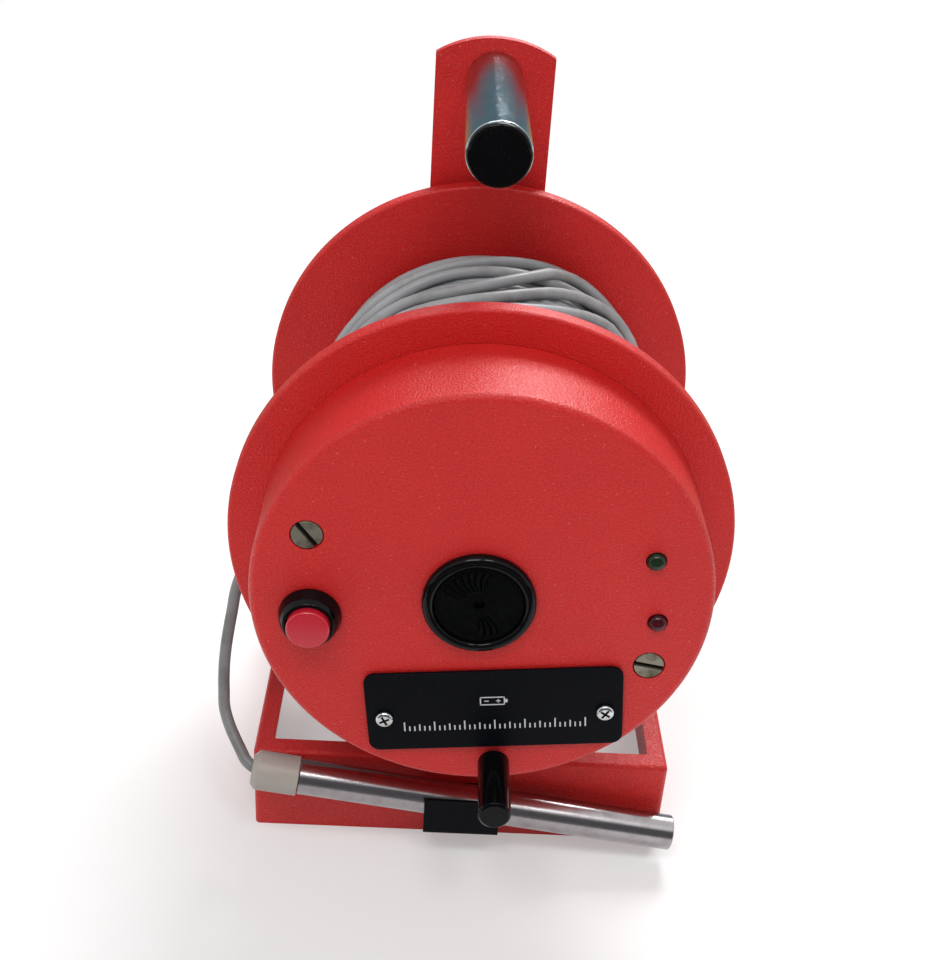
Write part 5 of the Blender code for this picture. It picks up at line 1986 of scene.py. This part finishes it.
@dataclass
class Drum(SubAssembly):
    """The two cheeks, the core and the round housing on the front.

    Attributes:
        radius: Of the cheeks.
        core: Radius of the core.
        root: Radius of the housing where it meets the cheek.
        depth: Of the housing.
        wall: Of the housing.
        edge: Rounding of the housing's front edge.
        rim: Rounding of the cheeks' edges.
    """

    body: str = "drum"
    radius: float = 0.100
    core: float = 0.056
    root: float = 0.0867
    depth: float = 0.0405
    wall: float = 0.003
    edge: float = 0.0028
    rim: float = 0.0014

    def cheek(self, name: str, place: Matrix) -> bpy.types.Object:
        """Makes a cheek with its spigot and its bush hole, the spigot along its own +Z."""
        thick = LAYOUT.flange_thickness
        spigot = self.core - 3 * MM - GAP
        corners = [
            (10.3 * MM, thick + 4 * MM),
            (spigot, thick + 4 * MM),
            (spigot, thick),
            (self.radius, thick, self.rim),
            (self.radius, 0, self.rim),
            (10.3 * MM, 0),
        ]
        return lathe(name, corners, place, 192, 6)

    def housing(self) -> bpy.types.Object:
        """Makes the pan of the housing and cuts the holes in its face."""
        depth = self.depth - GAP
        corners = [
            (0, self.wall),
            (LAYOUT.face_radius - self.wall, self.wall, 2 * MM),
            (self.root - self.wall, depth),
            (self.root, depth),
            (LAYOUT.face_radius, 0, self.edge),
            (0, 0),
        ]
        pan = lathe("housing_pan", corners, LAYOUT.at(0, 0, 0), 192, 8)
        through = 3 * self.wall
        cutters = [drill(18.8 * MM, through, Sounder().place(), 64)]
        for degrees in HousingScrews().directions:
            place = LAYOUT.on_face(HousingScrews().inset, degrees)
            cutters.append(drill(6.2 * MM, 2 * MM, place, 64))
            cutters.append(drill(3.2 * MM, through, place, 32))
        cutters.append(drill(8.3 * MM, through, PushButton().place(), 48))
        for tint in Tint:
            cutters.append(drill(3.9 * MM, through, Lamp(tint=tint).place(), 48))
        cutters.append(drill(3.3 * MM, through, CrankKnob().place(), 32))
        cover = BatteryCover()
        for side in (-1, 1):
            cutters.append(drill(COVER_BORE, through, cover.screw_place(side, 0), 32))
        cutters.append(block("window", (*cover.window, through), cover.at(0, 0, 0)))
        return break_edges(carve(pan, cutters), 0.3 * MM, 2, 60)

    def build(self) -> None:
        """Makes both cheeks and the housing, and dresses the core and the bushes."""
        front = self.cheek("front_cheek", LAYOUT.at(0, LAYOUT.front_flange, 0))
        back = Matrix.Translation((0, 0, self.depth))
        screws = HousingScrews()
        spots = [LAYOUT.on_face(screws.inset, degrees) @ back for degrees in screws.directions]
        carve(front, [drill(3.3 * MM, 5.3 * MM, spot) for spot in spots])
        self.fit(even_shade(front), RED_COAT, "front_flange")
        behind = LAYOUT.rear_flange + LAYOUT.flange_thickness
        rear = self.cheek("rear_cheek", LAYOUT.at(0, behind, 0, FACING_FRONT))
        self.fit(even_shade(rear), RED_COAT, "rear_flange")
        self.fit(self.housing(), RED_COAT, "front_housing")
        dress_nodes(RED_COAT, "drum_core")
        dress_nodes(BRONZE, "front_bush", "rear_bush")
        dress_nodes(NYLON, "thrust_washer")
        dress_nodes(ZINC, "axle_front_washer", "axle_front_nut")
        dress_nodes(ZINC, "housing_pillar_1", "housing_pillar_2")


@dataclass
class HousingScrews(SubAssembly):
    """Two slotted screws, sunk in the housing face.

    Attributes:
        inset: From the edge of the face.
        sunk: Underside of the heads, behind the face.
        directions: From the middle of the face, in degrees.
        turns: Of the slots, in degrees.
    """

    body: str = "drum"
    inset: float = 0.0165
    sunk: float = 0.0017
    directions: tuple[float, float] = (157.6, -21.0)
    turns: tuple[float, float] = (-52.0, -10.0)

    def build(self) -> None:
        """Makes both screws."""
        for number, (degrees, turn) in enumerate(zip(self.directions, self.turns), 1):
            sunk = Matrix.Translation((0, 0, -self.sunk))
            place = LAYOUT.on_face(self.inset, degrees, FACING_FRONT) @ sunk
            head = ScrewHead(
                name=f"slotted_screw_{number}",
                radius=5.7 * MM,
                height=1.8 * MM,
                crown=0.35 * MM,
                shank=(2.9 * MM, 12.3 * MM),
                recess=Recess.SLOT,
                width=2.0 * MM,
                depth=1.4 * MM,
                turn=turn,
            )
            # Painted shade darkens the floor and walls of the slot.
            head.shade_recess(self.fit(head.make(place), NICKEL, f"housing_screw_{number}"))


@dataclass
class PushButton(SubAssembly):
    """Push button with a domed bezel. Its cap rides on a body of its own.

    Attributes:
        inset: From the edge of the face.
        degrees: Direction from the middle of the face.
        height: Of the bezel.
        bezel: Radius of the bezel's foot.
        mouth: Radius of its opening.
        proud: Of the cap, in front of the bezel.
        cap: Radius of the cap.
        cap_head: Thickness of the cap, without its stem.
        stem: Radius of the cap's stem.
        travel: Of the cap.
    """

    body: str = "drum"
    inset: float = 0.0224
    degrees: float = 187.5
    height: float = 0.0075
    bezel: float = 0.0118
    mouth: float = 0.0084
    proud: float = 0.0029
    cap: float = 0.0081
    cap_head: float = 0.0062
    stem: float = 0.0046
    travel: float = 0.0025

    def place(self) -> Matrix:
        """Gives the button's place on the face, its own Z backwards."""
        return LAYOUT.on_face(self.inset, self.degrees)

    def build(self) -> None:
        """Makes the bezel with its switch body, and the cap."""
        step = -self.height - self.proud + self.cap_head + self.travel + GAP
        floor = step + 6 * MM
        guide = self.stem + GAP
        corners = [
            (0, 26 * MM),
            (8 * MM, 26 * MM),
            (8 * MM, -GAP),
            (self.bezel, -GAP),
            (self.bezel, -1.5 * MM, 0.5 * MM),
            (10.7 * MM, -5.4 * MM, 5 * MM),
            (9.5 * MM, -self.height, 0.8 * MM),
            (self.mouth, -self.height, 0.3 * MM),
            (self.mouth, step),
            (guide, step),
            (guide, floor),
            (0, floor),
        ]
        bezel = lathe("button_bezel", corners, self.place(), 112, 6)
        self.fit(even_shade(bezel), BLACK_GLOSS, "button_body")
        corners = [
            (0, 9.7 * MM),
            (self.stem, 9.7 * MM),
            (self.stem, self.cap_head),
            (self.cap, self.cap_head, 0.2 * MM),
            (self.cap, 0, 1.0 * MM),
            (0, 0),
        ]
        front = self.place() @ Matrix.Translation((0, 0, -self.height - self.proud))
        cap = lathe("button_push_cap", corners, front, 96, 6)
        RED_CAP.dress(cap)
        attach(even_shade(cap), "button")
        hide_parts("button_cap")
        LOG.info("button_push_cap rides on button")
        dress_nodes(BLACK_SATIN, "button_nut")


@dataclass
class Sounder(SubAssembly):
    """Sounder: a cup with a round glossy rim, and a pleated disc in its mouth.

    Attributes:
        across: Middle of the sounder, from the drum axis.
        up: Middle of the sounder, above the drum axis.
        radius: Of the rim.
        height: Of the rim.
        rim: Width of the rim.
        cup: Radius of the cup behind the face.
        cup_depth: Of the cup.
        hole: Radius of the disc's hole.
        pleats: Middle and half width of each pleat, in degrees clockwise from the top.
        ring: Spacing of the fine rings beside the pleats.
    """

    body: str = "drum"
    across: float = -0.0011
    up: float = 0.0011
    radius: float = 0.0212
    height: float = 0.004
    rim: float = 0.0042
    cup: float = 0.0185
    cup_depth: float = 0.018
    hole: float = 0.0021
    pleats: tuple[tuple[float, float], ...] = (
        (-59.0, 5.0),
        (-47.0, 5.0),
        (-35.0, 5.5),
        (-23.0, 5.0),
        (-12.0, 5.0),
        (-1.0, 5.5),
        (11.0, 4.5),
        (154.0, 4.5),
        (165.0, 5.0),
        (177.0, 5.0),
    )
    ring: float = 0.00105

    def place(self) -> Matrix:
        """Gives the sounder's place on the face, its own Z backwards."""
        return LAYOUT.at(self.across, 0, self.up)

    def rise(self, radius: float, degrees: float) -> float:
        """Says how far the disc stands out at a place on it.

        Args:
            radius: From the disc's middle.
            degrees: Clockwise from the top, as the viewer sees it.

        Returns:
            Height above the disc's flat middle.
        """
        inner, outer = 5.4 * MM, self.radius - self.rim - 1.9 * MM
        if not inner < radius < outer:
            return 0.0
        edge = min(1.0, (radius - inner) / (1.2 * MM), (outer - radius) / (0.9 * MM))
        swirl = degrees + 5.0 * math.sin(math.pi * (radius - inner) / (outer - inner))
        nearest = min(self.pleats, key=lambda pleat: abs(swirl - pleat[0]) / pleat[1])
        away = (swirl - nearest[0]) / nearest[1]
        if abs(away) < 1.0:
            return edge * 0.75 * MM * (1.0 - away * away) * (1.0 - 0.35 * away)
        if abs(away) < 1.5:
            return -edge * 0.5 * MM * (1.5 - abs(away)) * 2
        wave = math.cos(2 * math.pi * (radius - inner) / self.ring)
        return -0.16 * MM * max(0.0, wave) * min(1.0, edge)

    def disc(self) -> bpy.types.Object:
        """Makes the disc as a fine polar net, closed behind."""
        edge = self.radius - self.rim - GAP
        back = -2 * GAP
        front = back - 1.6 * MM
        around, steps = 300, 66
        work = bmesh.new()
        rings: list[list[bmesh.types.BMVert]] = []
        step = (edge - 0.3 * MM - self.hole) / steps
        reaches = [(self.hole, back)]
        reaches += [(self.hole + step * i, None) for i in range(steps + 1)]
        reaches += [(edge, front + 0.3 * MM), (edge, back)]
        for radius, height in reaches:
            ring = []
            for i in range(around):
                degrees = 360 * i / around - 90
                z = front - self.rise(radius, degrees) if height is None else height
                angle = math.radians(degrees)
                spot = (radius * math.sin(angle), -radius * math.cos(angle), z)
                ring.append(work.verts.new(spot))
            rings.append(ring)
        for inner, outer in zip(rings, rings[1:] + rings[:1]):
            for i in range(around):
                j = (i + 1) % around
                work.faces.new((inner[i], inner[j], outer[j], outer[i]))
        return new_piece("sounder_front_disc", work, self.place())

    def build(self) -> None:
        """Makes the cup and the disc."""
        mouth = self.radius - self.rim
        corners = [
            (0, self.cup_depth),
            (self.cup, self.cup_depth),
            (self.cup, -GAP),
            (self.radius, -GAP),
            (self.radius, -self.height, 2.6 * MM),
            (mouth, -self.height, 1.4 * MM),
            (mouth, -GAP),
            (0, -GAP),
        ]
        cup = lathe("sounder_cup", corners, self.place(), 144, 9)
        self.fit(even_shade(cup), BLACK_GLOSS, "sounder_case")
        self.fit(self.disc(), BLACK_SATIN, "sounder_disc")


@dataclass
class Lamp(SubAssembly):
    """Small round lamp with a low domed lens.

    Attributes:
        tint: Which lamp.
        inset: From the edge of the face.
        radius: Of the lens.
        rise: Of its dome, in front of the face.
        depth: Behind the face.
        collar: Radius of the collar behind the face, and how far back it starts and ends.
        steps: Straight pieces in the dome.
    """

    body: str = "drum"
    tint: Tint = Tint.GREEN
    inset: float = 0.0203
    radius: float = 0.0036
    rise: float = 0.003
    depth: float = 0.009
    collar: tuple[float, float, float] = (0.0046, 0.0033, 0.0045)
    steps: int = 12

    def place(self) -> Matrix:
        """Gives the lamp's place on the face, its own Z backwards."""
        return LAYOUT.on_face(self.inset, self.tint.value[1])

    def build(self) -> None:
        """Makes the lens with its body and collar."""
        wide, near, far = self.collar
        corners: list[tuple[float, ...]] = [
            (0, self.depth),
            (self.radius, self.depth),
            (self.radius, far),
            (wide, far),
            (wide, near),
            (self.radius, near),
        ]
        for step in range(self.steps):
            turn = math.pi / 2 * step / self.steps
            corners.append((self.radius * math.cos(turn), -self.rise * math.sin(turn)))
        corners.append((0, -self.rise))
        name = self.tint.name.lower()
        lens = lathe(f"{name}_lamp_lens", corners, self.place(), 64)
        self.fit(lens, self.tint.value[0], f"lamp_{name}")


@dataclass
class BatteryCover(SubAssembly):
    """Black cover plate over the battery, with two cross-recess screws and plain printed marks.

    Attributes:
        across: Middle of the plate.
        up: Middle of the plate.
        turn: In degrees.
        size: Width and height.
        window: Width and height of the opening behind it.
        thickness: Of the plate.
        corner: Radius of its corners.
        screw_reach: Of the screws, from the middle along the plate.
        screw_drop: Of the screws, below the middle.
    """

    body: str = "drum"
    across: float = 0.0078
    up: float = -0.04834
    turn: float = 5.5
    size: tuple[float, float] = (0.0992, 0.0372)
    window: tuple[float, float] = (0.0505, 0.0285)
    thickness: float = 0.0016
    corner: float = 0.0045
    screw_reach: float = 0.04265
    screw_drop: float = 0.0023

    def at(self, along: float, up: float, out: float) -> Matrix:
        """Gives a place in the plate's own directions, its own Z out of the face."""
        spin = Matrix.Rotation(math.radians(self.turn), 4, "Z")
        middle = LAYOUT.at(self.across, 0, self.up, FACING_FRONT)
        return middle @ spin @ Matrix.Translation((along, up, out))

    def screw_place(self, side: int, out: float) -> Matrix:
        """Gives the place of the left screw (-1) or of the right one (1)."""
        return self.at(side * self.screw_reach, -self.screw_drop, out)

    def mark(self, along: float, up: float, width: float, height: float) -> bpy.types.Object:
        """Makes one printed bar on the plate."""
        ink = 0.06 * MM
        place = self.at(along, up, GAP + self.thickness + ink / 2)
        return block("mark", (width, height, ink), place)

    def print_marks(self) -> None:
        """Prints a plain graduated scale and a battery sign on the plate."""
        bars = []
        for index in range(37):
            tall = 4.4 if index % 6 == 0 else 3.2 if index % 3 == 0 else 2.3
            along = (index - 18) * 1.95 * MM
            bars.append(self.mark(along, (-9.3 + tall / 2) * MM, 0.55 * MM, tall * MM))
        for along, up, width, height in (
            (-0.6, 6.3, 9.6, 0.45),
            (-0.6, 2.7, 9.6, 0.45),
            (-5.2, 4.5, 0.45, 3.9),
            (4.0, 4.5, 0.45, 3.9),
            (4.75, 4.5, 0.9, 1.6),
            (-2.9, 4.5, 1.7, 0.4),
            (1.7, 4.5, 1.7, 0.4),
            (1.7, 4.5, 0.4, 1.7),
        ):
            bars.append(self.mark(along * MM, up * MM, width * MM, height * MM))
        first = bars[0]
        first.name = "cover_printed_marks"
        work = bmesh.new()
        home = first.matrix_world.inverted()
        for bar in bars:
            mesh = bar.data.copy()
            mesh.transform(home @ bar.matrix_world)
            work.from_mesh(mesh)
            bpy.data.meshes.remove(mesh)
        work.to_mesh(first.data)
        work.free()
        for bar in bars[1:]:
            bpy.data.objects.remove(bar, do_unlink=True)
        self.fit(first, WHITE_PRINT)

    def build(self) -> None:
        """Makes the plate, its screws and its print, and dresses the battery behind it."""
        x, y = self.size[0] / 2, self.size[1] / 2
        c = self.corner
        outline = [(-x, -y, c), (x, -y, c), (x, y, c), (-x, y, c)]
        plate = slab("cover_plate", outline, self.thickness, self.at(0, 0, GAP), 8)
        carve(plate, [drill(COVER_BORE, 6 * MM, self.screw_place(side, 0), 40) for side in (-1, 1)])
        self.fit(break_edges(plate, 0.3 * MM, 3), BLACK_COAT, "battery_cover")
        for number, side in enumerate((-1, 1), 1):
            head = ScrewHead(
                name=f"cross_screw_{number}",
                radius=3.5 * MM,
                height=1.8 * MM,
                crown=1.3 * MM,
                shank=(1.9 * MM, 9 * MM),
                recess=Recess.CROSS,
                width=0.95 * MM,
                depth=1.2 * MM,
                turn=24.0 if side < 0 else 52.0,
            )
            seat = self.screw_place(side, GAP + self.thickness + GAP)
            # Painted shade darkens the floor and walls of the cross.
            head.shade_recess(self.fit(head.make(seat), BRIGHT_ZINC, f"cover_screw_{number}"))
        self.print_marks()
        dress_nodes(BLACK_SATIN, "battery_holder")
        dress_nodes(BATTERY_JACKET, "battery")
        dress_nodes(BOARD, "circuit_board")
        dress_nodes(NYLON, "board_pillar_1", "board_pillar_2")


@dataclass
class CrankKnob(SubAssembly):
    """Crank knob that turns on its spindle, on a body of its own.

    Attributes:
        radius: Of the knob.
        reach: From the housing face to its end.
        bore: Radius of its blind bore, and how far from the face that ends.
        root: Space between the face and the knob.
        inset: From the edge of the face.
        degrees: Direction from the middle of the face.
    """

    body: str = "knob"
    radius: float = 0.0063
    reach: float = 0.0322
    bore: tuple[float, float] = (0.0033, 0.0287)
    root: float = 0.002
    inset: float = 0.0109
    degrees: float = -83.0

    def place(self) -> Matrix:
        """Gives the knob's place on the face, its own Z backwards."""
        return LAYOUT.on_face(self.inset, self.degrees)

    def build(self) -> None:
        """Makes the knob with its blind bore."""
        bore, end = self.bore
        chamfer = 0.9 * MM
        corners = [
            (0, -end),
            (bore, -end),
            (bore, -self.root),
            (self.radius, -self.root, 0.6 * MM),
            (self.radius, chamfer - self.reach, 0.4 * MM),
            (self.radius - chamfer, -self.reach, 0.4 * MM),
            (0, -self.reach),
        ]
        knob = lathe("knob_turned", corners, self.place(), 96, 5)
        self.fit(even_shade(knob), BLACK_GLOSS, "crank_knob")
        dress_nodes(ZINC, "crank_spindle", "spindle_nut")


def main() -> None:
    """Builds the studio, then the cords, then every sub-assembly, in order."""
    Studio().build()
    for group in (
        CableWinding(),
        ProbeLead(),
        Probe(),
        ProbeClip(),
        BaseFrame(),
        Upright(),
        HexFastener(),
        Axle(),
        CarryHandle(),
        Drum(),
        HousingScrews(),
        PushButton(),
        Sounder(),
        Lamp(tint=Tint.GREEN),
        Lamp(tint=Tint.RED),
        BatteryCover(),
        CrankKnob(),
    ):
        group.build()
        LOG.info("%s done", type(group).__name__)


if __name__ == "__main__":
    logging.basicConfig(level=logging.INFO, format="%(message)s")
    main()
